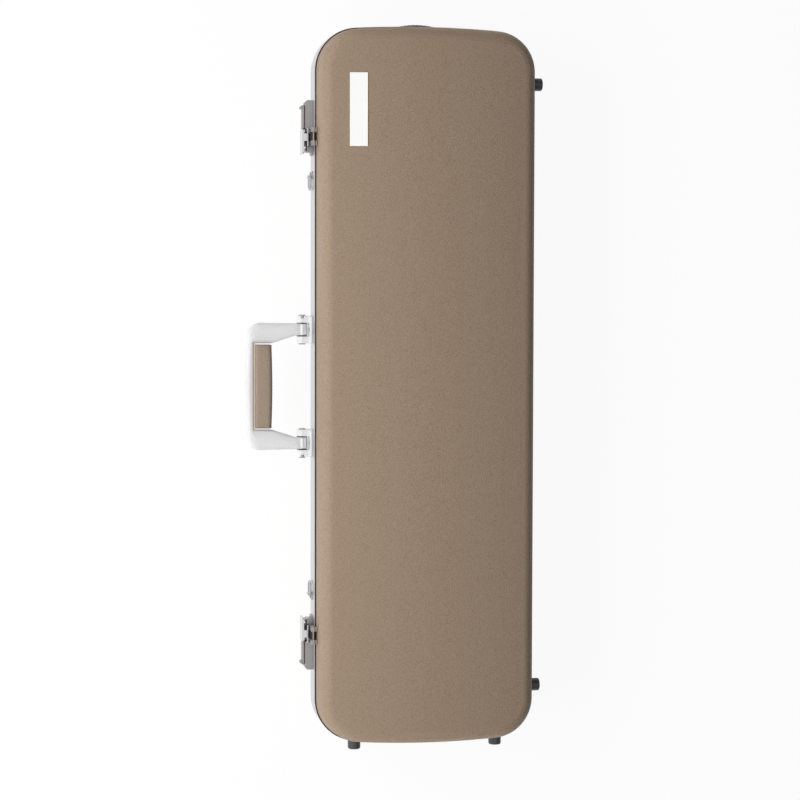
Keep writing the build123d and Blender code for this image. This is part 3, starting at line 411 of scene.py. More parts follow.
# Grip: taupe leather sewn tightly over a foam core, with a cream piping where it meets the
# metal. It swells a little in the middle, and its seam runs along the side of the fingers.
def capped(rings):
    """The skin over rings, closed at both ends."""
    points, faces = loft(rings)
    count = len(rings[0])
    return points, faces + [tuple(range(count)),
                            tuple(range(len(points) - count, len(points)))[::-1]]


def tube(path, radii, closed=False, sides=10):
    """A round tube along a path, with one radius or a radius for each point."""
    if not isinstance(radii, (list, tuple)):
        radii = [radii] * len(path)
    path = [Vector(p) for p in path]
    last = len(path) - 1
    side = None
    rings = []
    for i, point in enumerate(path):
        ahead = path[(i + 1) % len(path)] if closed or i < last else point
        behind = path[i - 1] if closed or i > 0 else point
        along = (ahead - behind).normalized()
        if side is None:
            side = along.orthogonal().normalized()
        side = (side - along * side.dot(along)).normalized()
        other = along.cross(side)
        rings.append([point + radii[i] * (math.cos(a) * side + math.sin(a) * other)
                      for a in (2 * math.pi * s / sides for s in range(sides))])
    if closed:
        return loft(rings + rings[:1])
    points, faces = loft(rings)
    return points, faces + [tuple(range(sides))[::-1],
                            tuple(range(len(points) - sides, len(points)))]


def stitches(path, outward, length, gap, radius):
    """A row of sewn stitches along a straight or curved path: each a short thread that dips
    into the material at both ends."""
    path = [Vector(p) for p in path]
    reach = [0.0]
    for a, b in zip(path, path[1:]):
        reach.append(reach[-1] + (b - a).length)

    def at(distance):
        for i in range(len(path) - 1):
            if distance <= reach[i + 1] or i == len(path) - 2:
                share = (distance - reach[i]) / (reach[i + 1] - reach[i])
                return path[i].lerp(path[i + 1], share)

    count = int((reach[-1] + gap) / (length + gap))
    shapes = []
    for n in range(count):
        start = n * (length + gap)
        shares = (0, 0.15, 0.5, 0.85, 1)
        lifts = (-0.6, 0.25, 0.5, 0.25, -0.6)
        spots = [at(start + s * length) + outward * radius * lift
                 for s, lift in zip(shares, lifts)]
        shapes.append(tube(spots, [radius * r for r in (0.5, 0.9, 1, 0.9, 0.5)], sides=6))
    return joined(shapes)


grip_low, grip_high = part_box("handle_grip")
grip_middle = (grip_low + grip_high) / 2
grip_fold = Vector((0.0017, 0, 0))
grip_half = (grip_high - grip_low) / 2 + grip_fold
outer_corner = 0.0032
inner_corner = 0.0052


def grip_ring(x, swell, inset):
    """Outline of the grip across its length: flat towards the metal, round at the fingers."""
    half_y = grip_half.y - inset
    half_z = grip_half.z - inset
    corners = ((-1, -1, outer_corner, 180), (1, -1, inner_corner, 270),
               (1, 1, inner_corner, 0), (-1, 1, outer_corner, 90))
    outline = []
    for side_y, side_z, radius, start in corners:
        radius = max(radius - inset, 0.0005)
        for step in range(9):
            turn = math.radians(start + 90 * step / 8)
            y = side_y * (half_y - radius) + radius * math.cos(turn)
            z = side_z * (half_z - radius) + radius * math.sin(turn)
            bulge = swell * (0.5 + y / (2 * half_y))
            outline.append((grip_middle.x + x, grip_middle.y + (y + bulge),
                            grip_middle.z + z * (1 + 0.5 * swell / half_z)))
    return outline


stations = 44
end_round = 0.0016
grip_swell = 0.0009
cover_tuck = 0.0003
shares = [2 * k / stations - 1 for k in range(stations + 1)]
rings = [grip_ring(share * (grip_half.x - end_round),
                   grip_swell * (1 - share ** 2) - cover_tuck, 0) for share in shares]
for side in (-1, 1):
    ends = []
    for step in range(1, 6):
        turn = math.radians(18 * step)
        x = side * (grip_half.x - end_round + end_round * math.sin(turn))
        ends.append(grip_ring(x, -cover_tuck, end_round * (1 - math.cos(turn))))
    rings = rings + ends if side > 0 else ends[::-1] + rings
# Full-grain leather, drum-dyed and finished smooth: a fine tight grain and a soft gloss.
grip_leather = leather("smooth_taupe_leather", "#9A8A7A", "#857463", 0.0012, 0.3, 0.5)
grip = add_piece("handle_grip_leather", *capped(rings), "handle", "grip_leather", grip_leather,
                 50)
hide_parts("handle_grip")

# Waxed cord in the piping: cream, slightly uneven, with painted shade in its creases.
cream_piping = leather("cream_piping", "#DDD1BE", "#C4B6A1", 0.0008, 0.2, 0.55)
piping_radius = 0.00045
welt_radius = 0.0004
piping_inset = 0.0012
bar_face = grip_low.y - 0.0001
runs = []
for side_z in (-1, 1):
    metal_face = grip_middle.z + side_z * (grip_half.z - piping_inset)
    run = [(x / 20 * (grip_half.x + piping_radius), bar_face, metal_face)
           for x in range(-20, 21)]
    runs.append(tube(run, piping_radius, sides=8))
add_piece("handle_grip_piping", *joined(runs), "handle", "grip_leather", cream_piping)
welts = [tube(grip_ring(side * (grip_half.x - piping_inset), 0.0001, 0.0001), welt_radius,
              closed=True, sides=8) for side in (-1, 1)]
add_piece("handle_grip_end_welts", *joined(welts), "handle", "grip_leather", grip_leather)

# Linen thread in the seam along the side of the fingers.
linen_thread = leather("linen_thread", "#B9A994", "#8F7F6B", 0.0006, 0.3, 0.7)
thread_radius = 0.00026
seam_end, seam_spread = 0.004, 0.0022
seam = [Vector((grip_middle.x + share * (grip_half.x - seam_end),
                grip_high.y + grip_swell * (1 - share ** 2) - 0.0002, grip_middle.z))
        for share in shares]
rows = [stitches([p + Vector((0, -0.00015, lift)) for p in seam], Vector((0, 1, 0)),
                 0.0028, 0.0012, thread_radius) for lift in (-seam_spread, seam_spread)]
add_piece("handle_grip_seam", *joined(rows), "handle", "grip_leather", linen_thread)

# Latches: nickel-plated zinc castings with a release slider, a hasp whose rolled bar pulls
# the lid down over the cheeks of its catch, and steel pins and rivets.
# Satin nickel on zinc is greyer and duller than the frames' aluminium.
satin_nickel = metal("satin_nickel_casting", "#B4B1AF", 0.4, 0.0006, 1, 0.1)
dress(satin_nickel, "latch_housing_left", "latch_housing_right", "latch_slider_left",
      "latch_slider_right", "latch_catch_left", "latch_catch_right")
# Bright chrome over nickel: a mirror with hardly any grain.
bright_chrome = metal("bright_chrome_plate", "#D2D1D3", 0.14, 0.0006, 1, 0.02)
dress(bright_chrome, "latch_hasp_left", "latch_hasp_right")
dress(nickel_plate, "latch_pin_left", "latch_pin_right", "latch_rivets")

# Catch buffers: black rubber blocks between the cheeks of each catch, which make the gap there
# dark. They sit over the trim, under the catch's pin.
# A buffer's section, as Y and Z, goes up its face, over its top and down over the trim.
buffer_section = ((-0.1256, 0.0872), (-0.1256, 0.1024), (-0.1248, 0.1032), (-0.1210, 0.1032),
                  (-0.1204, 0.1026), (-0.1204, 0.1000), (-0.1218, 0.1000), (-0.1218, 0.0970),
                  (-0.1233, 0.0970), (-0.1233, 0.0872))
buffer_y, buffer_z = -0.1235, 0.0985
buffers = []
for node in ("latch_catch_left", "latch_catch_right"):
    low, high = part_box(node)
    middle = (low.x + high.x) / 2
    rings = []
    for x, share in ((-0.0044, 0.93), (-0.0041, 1), (0.0041, 1), (0.0044, 0.93)):
        rings.append([(middle + x, buffer_y + (y - buffer_y) * share,
                       buffer_z + (z - buffer_z) * share) for y, z in buffer_section])
    buffers.append(capped(rings))
add_piece("catch_buffers", *joined(buffers), "lid", "black_rubber", trim_rubber, 40)

# Strap rings: chromed steel wire bent to a D, turning in small nickel-plated lugs that are
# riveted to the body's frame.
dress(bright_chrome, "d_ring_left", "d_ring_right")
dress(nickel_plate, "strap_lug_left", "strap_lug_right")

# End handle: a sprung strap of moulded rubber on a steel core, ribbed where the hand holds
# it, its ends held under two screwed plastic mounts.
strap_rubber = rubber("end_strap_rubber", "#232021", "#353233", 0.45, 0.0006)
dress(black_nylon, "end_handle_mounts")
strap_low, strap_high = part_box("end_handle")
strap_middle_z = (strap_low.z + strap_high.z) / 2
strap_half_width = (strap_high.z - strap_low.z) / 2
strap_half_span = (strap_high.y - strap_low.y) / 2
strap_bow = 0.0016
strap_crest = strap_low.x - strap_bow
strap_sag = 0.0083 + strap_bow
strap_thickness = 0.0033
strap_sides = 40
corner_power = 0.35
ribbed_share, ribbed_width = 0.62, 0.8
rib_height, plain_height = 0.00035, 0.0002
rib_room = 0.0008
bend_radius = (strap_half_span ** 2 + strap_sag ** 2) / (2 * strap_sag)
bend_centre = Vector((strap_crest + bend_radius, 0, strap_middle_z))
half_turn = math.asin(strap_half_span / bend_radius)
rings = []
for k in range(121):
    turn = half_turn * (k / 60 - 1)
    outward = Vector((-math.cos(turn), math.sin(turn), 0))
    ribbed = abs(turn) < ribbed_share * half_turn
    rib = rib_height * math.cos(2 * math.pi * k / 6) if ribbed else plain_height
    ring = []
    for step in range(strap_sides):
        around = 2 * math.pi * step / strap_sides
        across, through = (math.copysign(abs(share) ** corner_power, share)
                           for share in (math.sin(around), math.cos(around)))
        on_rib = rib if abs(across) < ribbed_width and through > 0 else 0
        depth = bend_radius - rib_room - strap_thickness / 2 * (1 - through) + on_rib
        ring.append(bend_centre + outward * depth
                    + Vector((0, 0, across * strap_half_width)))
    rings.append(ring)
end_strap = add_piece("end_handle_strap", *capped(rings), "case_body", "end_handle_rubber",
                      strap_rubber, 60)
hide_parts("end_handle")
low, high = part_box("end_handle_screws")
pan_radius, pan_height = 0.0036, 0.0014
pan_head = ((0.0026, pan_height), (0.0032, 0.0012), (pan_radius, 0.0006), (pan_radius, 0.0))
screw_y = high.y - pan_radius
heads = [screw_head(Vector((low.x + pan_height, side * screw_y, strap_middle_z)),
                    Vector((-1, 0, 0)), pan_head, (0.0021, 0.0004), 0.001)
         for side in (-1, 1)]
end_screws = add_piece("end_handle_screw_heads", *joined(heads), "case_body", "hinge_steel",
                       nickel_plate, 35)
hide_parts("end_handle_screws")

# Plate on the lid: thin aluminium, polished and left bare, with a brushed haze.
polished_plate = metal("polished_aluminium", "#FEFEFC", 0.2, 0.0004, 30, 0.02)
dress(polished_plate, "blank_plate")


# Foam blocks and neck cradle: firm foam cut to the violin's outline. It is covered, like all
# the linings, with polyester plush, a velour with a pile of about 1 mm.
def plush(name, high, low):
    """Short cut pile, soft to look at. Painted sheen makes it pale where the pile leans away."""
    material = new_material(name)
    place = add_node(material, "TexCoord").outputs["Object"]
    # Real pile has about 3 threads a millimetre. It is drawn at 0.9 mm, so that it shows.
    pile = add_node(material, "TexNoise", {"Vector": place, "Scale": 1 / 0.0009, "Detail": 3})
    strokes = add_node(material, "TexNoise", {"Vector": place, "Scale": 14, "Detail": 5,
                                              "Distortion": 0.3})
    # Painted sheen: paler patches of colour stand in for the light caught by leaning pile.
    painted_pile_sheen = add_node(material, "MapRange", {"Value": strokes.outputs[0], "From Min": 0.3,
                                           "From Max": 0.7, "To Min": 0.35, "To Max": 0.9})
    tone = add_node(material, "Math", {0: painted_pile_sheen.outputs[0], 1: pile.outputs[0]},
                    operation="MULTIPLY")
    colour = add_node(material, "Mix", {0: tone.outputs[0], 6: linear(low), 7: linear(high)},
                      data_type="RGBA")
    return finished(material, pile.outputs[0], 0.5, 0.0004, {
        "Base Color": colour.outputs[2], "Roughness": 0.95, "IOR": 1.45,
        "Sheen Weight": 0.35, "Sheen Roughness": 0.4})


grey_plush = plush("warm_grey_plush", "#92877E", "#6A6058")
# The lower block thins to an edge against the body's wall, so its copy is finer.
for node, fill, voxel, rounds in (("upper_foam_block", 0.85, 0.0022, 14),
                                  ("lower_foam_block", 0.85, 0.0014, 34),
                                  ("neck_cradle", 0.8, 0.0022, 14)):
    foam = rounded_copy(node, node + "_plush", voxel, rounds, "case_body", "plush", grey_plush)

# Outlines of the case for its linings, with the sizes of the shells.
half_length = 0.392
half_width = 0.120
end_bow = 0.006
rim_corner = 0.046
parting = 0.086
end_radius = (half_width ** 2 + end_bow ** 2) / (2 * end_bow)
end_centre = half_length - end_radius
corner_y = half_width - rim_corner
corner_x = end_centre + math.sqrt((end_radius - rim_corner) ** 2 - corner_y ** 2)
corner_stop = math.atan2(corner_y, corner_x - end_centre)


def end_curve(inset):
    """The upper end of the case, from its -Y side round to its +Y side."""
    curve = []
    for step in range(11):
        turn = -math.pi / 2 + (math.pi / 2 - corner_stop) * step / 10
        curve.append((-corner_x - (rim_corner - inset) * math.cos(turn),
                      -corner_y + (rim_corner - inset) * math.sin(turn)))
    for step in range(1, 8):
        turn = corner_stop * (step / 4 - 1)
        curve.append((-end_centre - (end_radius - inset) * math.cos(turn),
                      (end_radius - inset) * math.sin(turn)))
    return curve + [(x, -y) for x, y in curve[10::-1]]


def whole_outline(inset):
    """The whole rim, inset: the upper end, the spine side, the lower end, the latch side."""
    end = end_curve(inset)
    side = [(-corner_x + 2 * corner_x * step / 16, half_width - inset)
            for step in range(1, 16)]
    half = end + side
    return half + [(-x, -y) for x, y in half]


def shrunk(outline, share, spine):
    """An outline drawn in towards the middle line of the case."""
    return [(min(max(x, -spine), spine) * (1 - share) + x * share, y * share)
            for x, y in outline]


def raised(outline, z):
    """An outline at a height."""
    return [(x, y, z) for x, y in outline]


# Floor pad: a flat pad of foam under plush, laid on the bottom of the body.
low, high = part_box("floor_pad")
pad_edge = 0.0012
pad_inset = 0.044
pad_top_inset = 0.0014
pad_spine = 0.25
pad_top = whole_outline(pad_inset + pad_top_inset)
rings = [raised(shrunk(pad_top, 0, pad_spine), low.z)]
for inset, z in ((0.0012, low.z), (0.0, low.z + pad_edge), (0.0, high.z - pad_edge),
                 (0.0006, high.z - 0.0003), (pad_top_inset, high.z)):
    rings.append(raised(whole_outline(pad_inset + inset), z))
rings += [raised(shrunk(pad_top, share, pad_spine), high.z) for share in (0.9, 0.6, 0.3, 0)]
pad = add_piece("floor_pad_plush", *loft(rings), "case_body", "plush", grey_plush)
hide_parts("floor_pad")

# Body lining: plush on a thin foam, glued to the body's walls under the inner lip of its
# frame and round the floor pad. It shows between the tray and the foam blocks.
body_draft = math.radians(8)
wall_start = parting - 0.02175
bottom_round = 0.038


def body_inset(inset, z):
    """How far the body's wall stands in from the rim at a height, under an inset lining."""
    radius = bottom_round - inset
    if z > bottom_round - radius * math.sin(body_draft):
        return inset + max(wall_start - z, 0) * math.tan(body_draft)
    centre = inset + (wall_start - bottom_round) * math.tan(body_draft)
    return (centre + radius / math.cos(body_draft)
            - math.sqrt(max(radius ** 2 - (bottom_round - z) ** 2, 0)))


lining_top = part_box("body_lining")[1].z
lining_outer, lining_inner = 0.0044, 0.0062
lining_bend = 0.034
lining_foot = 0.0434


def lining_profile(inset):
    """The lining's section from its upper hem to the floor, as insets and heights."""
    profile = []
    for step in range(9):
        z = lining_top - 0.0004 + (lining_bend - lining_top) * step / 8
        profile.append((body_inset(inset, z), z))
    for step in range(1, 13):
        rise = (bottom_round - inset) * (1 - math.cos(math.radians(75 - 75 * step / 12)))
        profile.append((body_inset(inset, inset + rise), inset + rise))
    return profile + [(lining_foot, inset)]


outer = lining_profile(lining_outer)
inner = lining_profile(lining_inner)
hem = [((lining_outer + lining_inner) / 2, lining_top)]
rings = [raised(whole_outline(inset), z) for inset, z in outer[::-1] + hem + inner]
wall_lining = add_piece("body_lining_plush", *loft(rings + rings[:1]), "case_body", "plush",
                        grey_plush, 50)
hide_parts("body_lining")

# Accessory tray: a bin of thin board covered inside and out with plush, glued in at the
# upper end. Two lugs on its inner wall carry the pin of its flap.
tray_wall = 0.003
tray_inset = 0.0064
hinge_low, hinge_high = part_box("accessory_flap_pin")


def tray_ring(inset, end, z):
    """The tray's outline at a height: round the upper end and straight across."""
    curve = end_curve(body_inset(inset, z))
    y_end = curve[-1][1]
    side = [(curve[-1][0] + (end - curve[-1][0]) * s / 5, y_end) for s in range(1, 6)]
    across = [(end, y_end * (1 - s / 7)) for s in range(1, 14)]
    front = [(x, -y) for x, y in side[::-1]]
    return raised(curve + side + across + front, z)


def drawn_in(ring, centre_x, share, z):
    """A ring drawn in towards a place on the case's middle line, at a height."""
    return [(centre_x + (x - centre_x) * share, y * share, z) for x, y, _ in ring]


tray_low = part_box("accessory_tray")[0]
tray_rim = 0.076
bin_foot = tray_low.z + 0.0003
bin_floor = tray_low.z + tray_wall
bin_end = (hinge_low.x + hinge_high.x) / 2 - 0.0036
rings = []
for step in range(13):
    z = bin_foot + (tray_rim - 0.0015 - tray_low.z) * step / 12
    rings.append(tray_ring(tray_inset + 0.0002, bin_end, z))
for side_inset, end_inset, z in ((0.0008, 0.0006, tray_rim - 0.0003),
                                 (tray_wall / 2, tray_wall / 2, tray_rim),
                                 (tray_wall - 0.0006, tray_wall - 0.0006, tray_rim - 0.0003)):
    rings.append(tray_ring(tray_inset + side_inset, bin_end - end_inset, z))
for step in range(12, -1, -1):
    z = bin_floor + (tray_rim - 0.0012 - bin_floor) * step / 12
    rings.append(tray_ring(tray_inset + tray_wall, bin_end - tray_wall, z))
centre_x = (rings[-1][0][0] + bin_end) / 2
rings += [drawn_in(rings[-1], centre_x, share, bin_floor) for share in (0.85, 0.5, 0.0)]
under = [drawn_in(rings[0], centre_x, share, bin_foot) for share in (0.0, 0.5)]
shapes = [loft(under + rings)]
lug_radius = 0.0029
lug_length = 0.008
lug_foot = 0.0682
pin_line = Vector(((hinge_low.x + hinge_high.x) / 2, 0, (hinge_low.z + hinge_high.z) / 2))
for side in (-1, 1):
    outer_y = side * (hinge_high.y - 0.0001)
    inner_y = outer_y - side * lug_length
    profile = []
    for step in range(17):
        turn = math.radians(-90 + 180 * step / 16)
        profile.append((pin_line.x + lug_radius * math.cos(turn),
                        pin_line.z + lug_radius * math.sin(turn)))
    profile += [(bin_end - 0.001, pin_line.z + lug_radius - 0.0012), (bin_end - 0.001, lug_foot),
                (bin_end + 0.0012, lug_foot), (pin_line.x + lug_radius, lug_foot + 0.002)]
    ends = []
    for y, share in ((inner_y, 0.86), (inner_y + side * 0.0004, 1.0),
                     (outer_y - side * 0.0004, 1.0), (outer_y, 0.86)):
        ends.append([(pin_line.x + (x - pin_line.x) * share, y,
                      pin_line.z + (z - pin_line.z) * share) for x, z in profile])
    shapes.append(capped(ends))
tray = add_piece("accessory_tray_plush", *joined(shapes), "case_body", "plush", grey_plush, 60)
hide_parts("accessory_tray")
dress(nickel_plate, "accessory_flap_pin")

# Flap of the tray: a board padded with foam under plush, which swells in the middle. It is
# wrapped round the pin along its inner edge.
flap_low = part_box("accessory_flap")[0]
flap_inset = tray_inset + 0.0003
flap_bottom = pin_line.z - 0.0015
flap_top = flap_bottom + 0.003
flap_end = bin_end
flap_centre_x = (flap_low.x + flap_end) / 2
flap_crown = 0.0016


def flap_ring(draw_in, z):
    """The flap's outline at a height, drawn in from its edge."""
    edge = tray_ring(flap_inset + draw_in, flap_end - draw_in, parting)
    return [(x, y, z) for x, y, _ in edge]


edge = flap_ring(0, flap_bottom)
rings = [drawn_in(edge, flap_centre_x, share, flap_bottom) for share in (0, 0.5, 0.95)]
rings += [flap_ring(0.0004, flap_bottom), flap_ring(0, flap_bottom + 0.0006),
          flap_ring(0, flap_top - 0.001), flap_ring(0.0003, flap_top - 0.0004),
          flap_ring(0.0012, flap_top)]
edge = rings[-1]
for step in range(1, 9):
    share = 1 - step / 8
    rise = flap_crown * (1 - share ** 4)
    rings.append(drawn_in(edge, flap_centre_x, share, flap_top + rise))
shapes = [loft(rings)]
barrel_half = (hinge_high.y - hinge_low.y) / 2 - lug_length - 0.0004
barrel = [(pin_line.x, barrel_half * s / 12, pin_line.z) for s in range(-12, 13)]
barrel_end, barrel_radius = 0.0022, 0.00285
barrel_radii = [barrel_end] + [barrel_radius] * 23 + [barrel_end]
shapes.append(tube(barrel, barrel_radii, sides=20))
web = []
for y in (-barrel_half + 0.001, barrel_half - 0.001):
    web.append([(flap_end - 0.002, y, flap_bottom), (pin_line.x, y, flap_bottom + 0.0001),
                (pin_line.x, y, flap_top - 0.0001), (flap_end - 0.002, y, flap_top)])
shapes.append(capped(web))
flap = add_piece("accessory_flap_plush", *joined(shapes), "accessory_flap", "plush",
                 grey_plush, 60)
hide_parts("accessory_flap")

# Pull tab: two layers of taupe leather, sewn together round their edge and to the flap.
tab_low, tab_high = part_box("accessory_flap_tab")
tab_middle = (tab_low + tab_high) / 2
tab_half = (tab_high - tab_low) / 2
tab_corner = 0.004


def tab_outline(draw_in):
    """The tab's outline: a strap with round corners."""
    outline = []
    for side_x, side_y, start in ((1, 1, 0), (-1, 1, 90), (-1, -1, 180), (1, -1, 270)):
        for step in range(7):
            turn = math.radians(start + 15 * step)
            radius = tab_corner - draw_in
            outline.append((tab_middle.x + side_x * (tab_half.x - tab_corner)
                            + radius * math.cos(turn),
                            tab_middle.y + side_y * (tab_half.y - tab_corner)
                            + radius * math.sin(turn)))
    return outline


tab_bottom = tab_low.z + 0.0008
tab_top = tab_bottom + 0.0014
rings = []
for draw_in, z in ((0.0035, tab_bottom), (0.0002, tab_bottom), (0, tab_bottom + 0.0003),
                   (0, tab_top - 0.0004), (0.0003, tab_top - 0.0001), (0.0009, tab_top),
                   (0.0035, tab_top + 0.0002)):
    rings.append(raised(tab_outline(draw_in), z))
tab = add_piece("flap_pull_tab", *capped(rings), "accessory_flap", "tab_leather", grip_leather,
                50)
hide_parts("accessory_flap_tab")
seam = raised(tab_outline(0.0016), tab_top + 0.0001)
threads = stitches(seam + seam[:1], Vector((0, 0, 1)), 0.0022, 0.001, thread_radius)
add_piece("flap_pull_tab_seam", *threads, "accessory_flap", "tab_leather", linen_thread)

# Neck strap: nylon webbing in an arch over the violin's neck, its ends sewn down, with a
# pad of hook-and-loop tape on its crest.
strap_low, strap_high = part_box("neck_strap")
arch_half = (strap_high.y - strap_low.y) / 2
arch_rise = strap_high.z - strap_low.z
arch_radius = (arch_half ** 2 + arch_rise ** 2) / (2 * arch_rise)
arch_turn = math.asin(arch_half / arch_radius)
arch_centre = Vector(((strap_low.x + strap_high.x) / 2, 0, strap_high.z - arch_radius))
strap_half = (strap_high.x - strap_low.x) / 2
# Section of a band, as shares of its half width and its thickness, with selvedges at its sides.
band_section = ((-1, 0.25), (-0.985, 0), (0.985, 0), (1, 0.25), (1, 0.75), (0.985, 1),
                (0.94, 0.94), (-0.94, 0.94), (-0.985, 1), (-1, 0.75))


def on_arch(x, turn, lift):
    """A place on the arch, at a height over its middle line."""
    up = Vector((0, math.sin(turn), math.cos(turn)))
    return arch_centre + Vector((x, 0, 0)) + up * (arch_radius + lift)


def arch(half_x, low_lift, high_lift, reach, steps):
    """A band that follows the arch between two heights over its middle line."""
    rings = []
    for k in range(steps + 1):
        turn = reach * arch_turn * (2 * k / steps - 1)
        rings.append([on_arch(x * half_x, turn, low_lift + (high_lift - low_lift) * lift)
                      for x, lift in band_section])
    return capped(rings)


# Nylon webbing: flat woven, with a rib every 1.5 mm across and a dull shine.
def webbing(name, high, low, rib):
    """Woven nylon tape: threads over and under in a small basket."""
    material = new_material(name)
    place = add_node(material, "TexCoord").outputs["Object"]
    warp, weft = (add_node(material, "TexWave", {"Vector": place, "Scale": 0.314 / rib,
                                                 "Distortion": 0.4, "Detail": 1},
                           bands_direction=axis) for axis in "XY")
    woven = add_node(material, "Math", {0: warp.outputs["Fac"], 1: weft.outputs["Fac"]},
                     operation="MULTIPLY")
    colour = add_node(material, "Mix", {0: woven.outputs[0], 6: linear(low), 7: linear(high)},
                      data_type="RGBA")
    return finished(material, woven.outputs[0], 0.5, rib / 5, {
        "Base Color": colour.outputs[2], "Roughness": 0.7, "IOR": 1.53, "Sheen Weight": 0.1})


black_webbing = webbing("black_nylon_webbing", "#3B3839", "#1E1C1D", 0.0015)
strap = add_piece("neck_strap_webbing", *arch(strap_half, -0.0015, -0.0001, 1, 48),
                  "case_body", "strap_webbing", black_webbing, 60)
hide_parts("neck_strap")
hook_tape = plush("hook_and_loop_tape", "#4A4748", "#2C2A2B")
add_piece("neck_strap_tape", *arch(strap_half * 0.86, -0.0001, 0.0009, 0.42, 30),
          "case_body", "strap_webbing", hook_tape, 60)
rows = []
for side in (-1, 1):
    path = [on_arch(side * strap_half * 0.8, 0.4 * arch_turn * (k / 20 - 1), 0.001)
            for k in range(41)]
    rows.append(stitches(path, Vector((0, 0, 1)), 0.0024, 0.001, thread_radius))
add_piece("neck_strap_seam", *joined(rows), "case_body", "strap_webbing", linen_thread)

# Lid lining: plush on thin foam, glued inside the lid, with a folded hem behind the frame.
lid_edge = 0.014
lid_crown = 0.009
lid_wall = parting + 0.01375
lid_top = 0.140
lid_draft = math.radians(5)
hem_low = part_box("lid_lining")[0].z


def lid_height(inset, y):
    """Height of the crowned top over a place across the case, under an inset lining."""
    radius = (half_width ** 2 + lid_crown ** 2) / (2 * lid_crown) - inset
    return lid_top - inset - radius + math.sqrt(radius ** 2 - y ** 2)


def lid_rings(inset):
    """Rings from the lining's hem up the wall, round the edge and over to the middle."""
    radius = lid_edge - inset
    centre_z = lid_height(inset, half_width) - radius
    centre = (inset + (centre_z - lid_wall) * math.tan(lid_draft)
              + radius / math.cos(lid_draft))
    rings = []
    for step in range(5):
        z = hem_low + (centre_z - hem_low) * step / 5
        wall_inset = inset + max(z - lid_wall, 0) * math.tan(lid_draft)
        rings.append(raised(whole_outline(wall_inset), z))
    for step in range(10):
        turn = lid_draft + (math.pi / 2 - lid_draft) * step / 9
        outline = whole_outline(centre - radius * math.cos(turn))
        rings.append([(x, y, lid_height(inset, y) - radius * (1 - math.sin(turn)))
                      for x, y in outline])
    last = [(x, y) for x, y, _ in rings[-1]]
    for step in range(1, 11):
        outline = shrunk(last, 1 - step / 10, 0.26)
        rings.append([(x, y, lid_height(inset, y)) for x, y in outline])
    return rings


lid_outer, lid_inner = 0.0045, 0.0063
hem_round = 0.0003
outer_rings, inner_rings = lid_rings(lid_outer), lid_rings(lid_inner)
hem = [[((a[0] + b[0]) / 2, (a[1] + b[1]) / 2, a[2] - hem_round) for a, b in
        zip(outer_rings[0], inner_rings[0])]]
for rings in (outer_rings, inner_rings):
    rings[0] = [(x, y, z + hem_round) for x, y, z in rings[0]]
lining = add_piece("lid_lining_plush", *loft(outer_rings[::-1] + hem + inner_rings), "lid",
                   "plush", grey_plush, 60)
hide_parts("lid_lining")

# Bow holders: turning spinners on round bases, and two slotted blocks for the bows' tips,
# all moulded in black ABS and screwed through the lining.
gloss_abs = rubber("glossy_black_abs", "#19191A", "#2C2C2D", 0.25, 0.0006)
dress(gloss_abs, "bow_spinner_bases", "bow_spinner_front", "bow_spinner_rear",
      "bow_tip_holders")

# Floor and light: a pale studio floor under soft lamps, the main one beyond the latches.
floor_white = new_material("pale_floor")
light_path = add_node(floor_white, "LightPath")
seen = add_node(floor_white, "Math", {0: light_path.outputs["Is Camera Ray"],
                                      1: light_path.outputs["Is Glossy Ray"]},
                operation="MAXIMUM")
seen_through = add_node(floor_white, "Math", {0: seen.outputs[0],
                                              1: light_path.outputs["Is Transmission Ray"]},
                        operation="MAXIMUM")
glow_share = add_node(floor_white, "Math", {0: seen_through.outputs[0], 1: 0.93},
                      operation="MULTIPLY")
matt = add_node(floor_white, "BsdfDiffuse", {"Color": linear("#F6F6F6")})
glow = add_node(floor_white, "Emission")
both = add_node(floor_white, "MixShader", {0: glow_share.outputs[0], 1: matt.outputs[0],
                                           2: glow.outputs[0]})
add_node(floor_white, "OutputMaterial", {"Surface": both.outputs[0]})
floor_half = 6
floor_level = -0.0002
corners = [(x * floor_half, y * floor_half) for x, y in ((-1, -1), (1, -1), (1, 1), (-1, 1))]
mesh = bpy.data.meshes.new("floor")
mesh.from_pydata(raised(corners, floor_level), [], [(0, 1, 2, 3)])
mesh.materials.append(floor_white)
floor = bpy.data.objects.new("floor", mesh)
bpy.context.scene.collection.objects.link(floor)

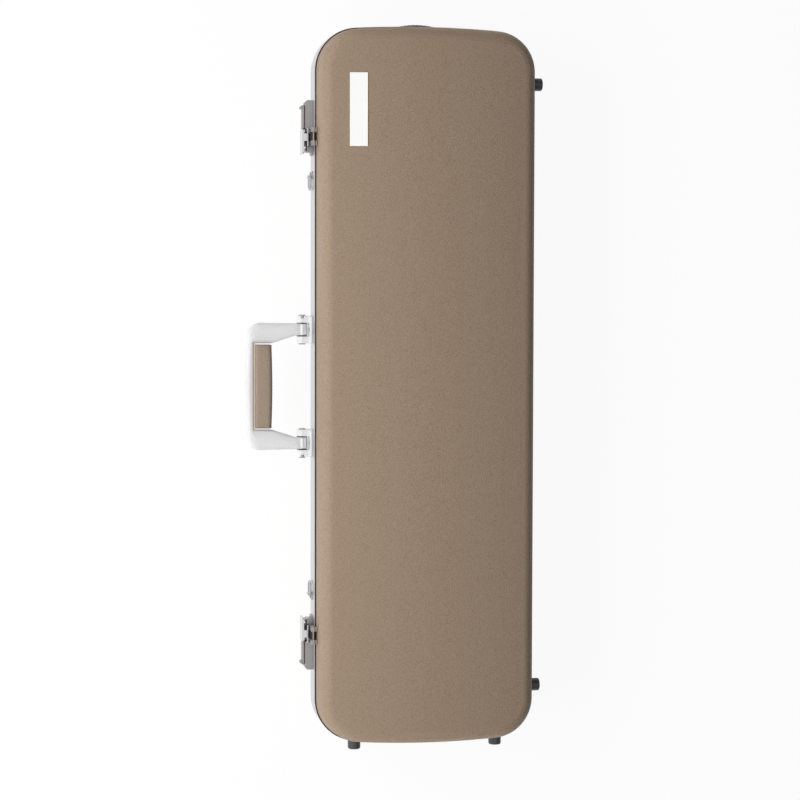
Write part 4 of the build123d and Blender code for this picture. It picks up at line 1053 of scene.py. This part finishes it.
world = bpy.data.worlds.new("studio")
bpy.context.scene.world = world
world.use_nodes = True
world.node_tree.nodes.clear()
way = add_node(world, "SeparateXYZ", {0: add_node(world, "TexCoord").outputs["Generated"]})
overhead = add_node(world, "MapRange", {"Value": way.outputs[2], "From Min": 0.72,
                                        "From Max": 0.93}, interpolation_type="SMOOTHSTEP")
low_wall = add_node(world, "MapRange", {"Value": way.outputs[2], "From Min": 0.35,
                                        "From Max": 0.15, "To Min": 0.7, "To Max": 1},
                    interpolation_type="SMOOTHSTEP")
side_wall = add_node(world, "MapRange", {"Value": way.outputs[1], "From Min": -0.5,
                                         "From Max": 0.5, "To Min": 1, "To Max": 0.15},
                     interpolation_type="SMOOTHSTEP")
walls = add_node(world, "Math", {0: low_wall.outputs[0], 1: side_wall.outputs[0]},
                 operation="MULTIPLY")
room = add_node(world, "Math", {0: walls.outputs[0], 1: overhead.outputs[0]},
                operation="MAXIMUM")
light_path = add_node(world, "LightPath")
mirrored = add_node(world, "MapRange", {"Value": light_path.outputs["Is Glossy Ray"],
                                        "To Min": 0.3, "To Max": 1})
shown = add_node(world, "Math", {0: room.outputs[0], 1: mirrored.outputs[0]},
                 operation="MULTIPLY")
strength = add_node(world, "Mix", {0: light_path.outputs["Is Camera Ray"],
                                   2: shown.outputs[0], 3: 1})
sky = add_node(world, "Background", {"Color": (1, 1, 1, 1), "Strength": strength.outputs[0]})
add_node(world, "OutputWorld", {"Surface": sky.outputs[0]})


def soft_lamp(name, place, size, power):
    """A soft box that points at the case. Gloss shows the room, and not the lamps."""
    lamp = bpy.data.lights.new(name, "AREA")
    lamp.shape = "RECTANGLE"
    lamp.size, lamp.size_y = size
    lamp.energy = power
    holder = bpy.data.objects.new(name, lamp)
    bpy.context.scene.collection.objects.link(holder)
    way = (Vector((0, 0, 0.1)) - Vector(place)).normalized()
    holder.matrix_world = (Matrix.Translation(Vector(place))
                           @ way.to_track_quat("-Z", "Y").to_matrix().to_4x4())
    holder.visible_camera = False
    holder.visible_glossy = False


soft_lamp("main_lamp", (0, -0.98, 1.0), (1.8, 0.6), 21)
soft_lamp("upper_lamp", (-2.4, 0, 0.7), (1.6, 1.2), 8)
soft_lamp("lower_lamp", (2.4, 0, 0.7), (1.6, 1.2), 22)
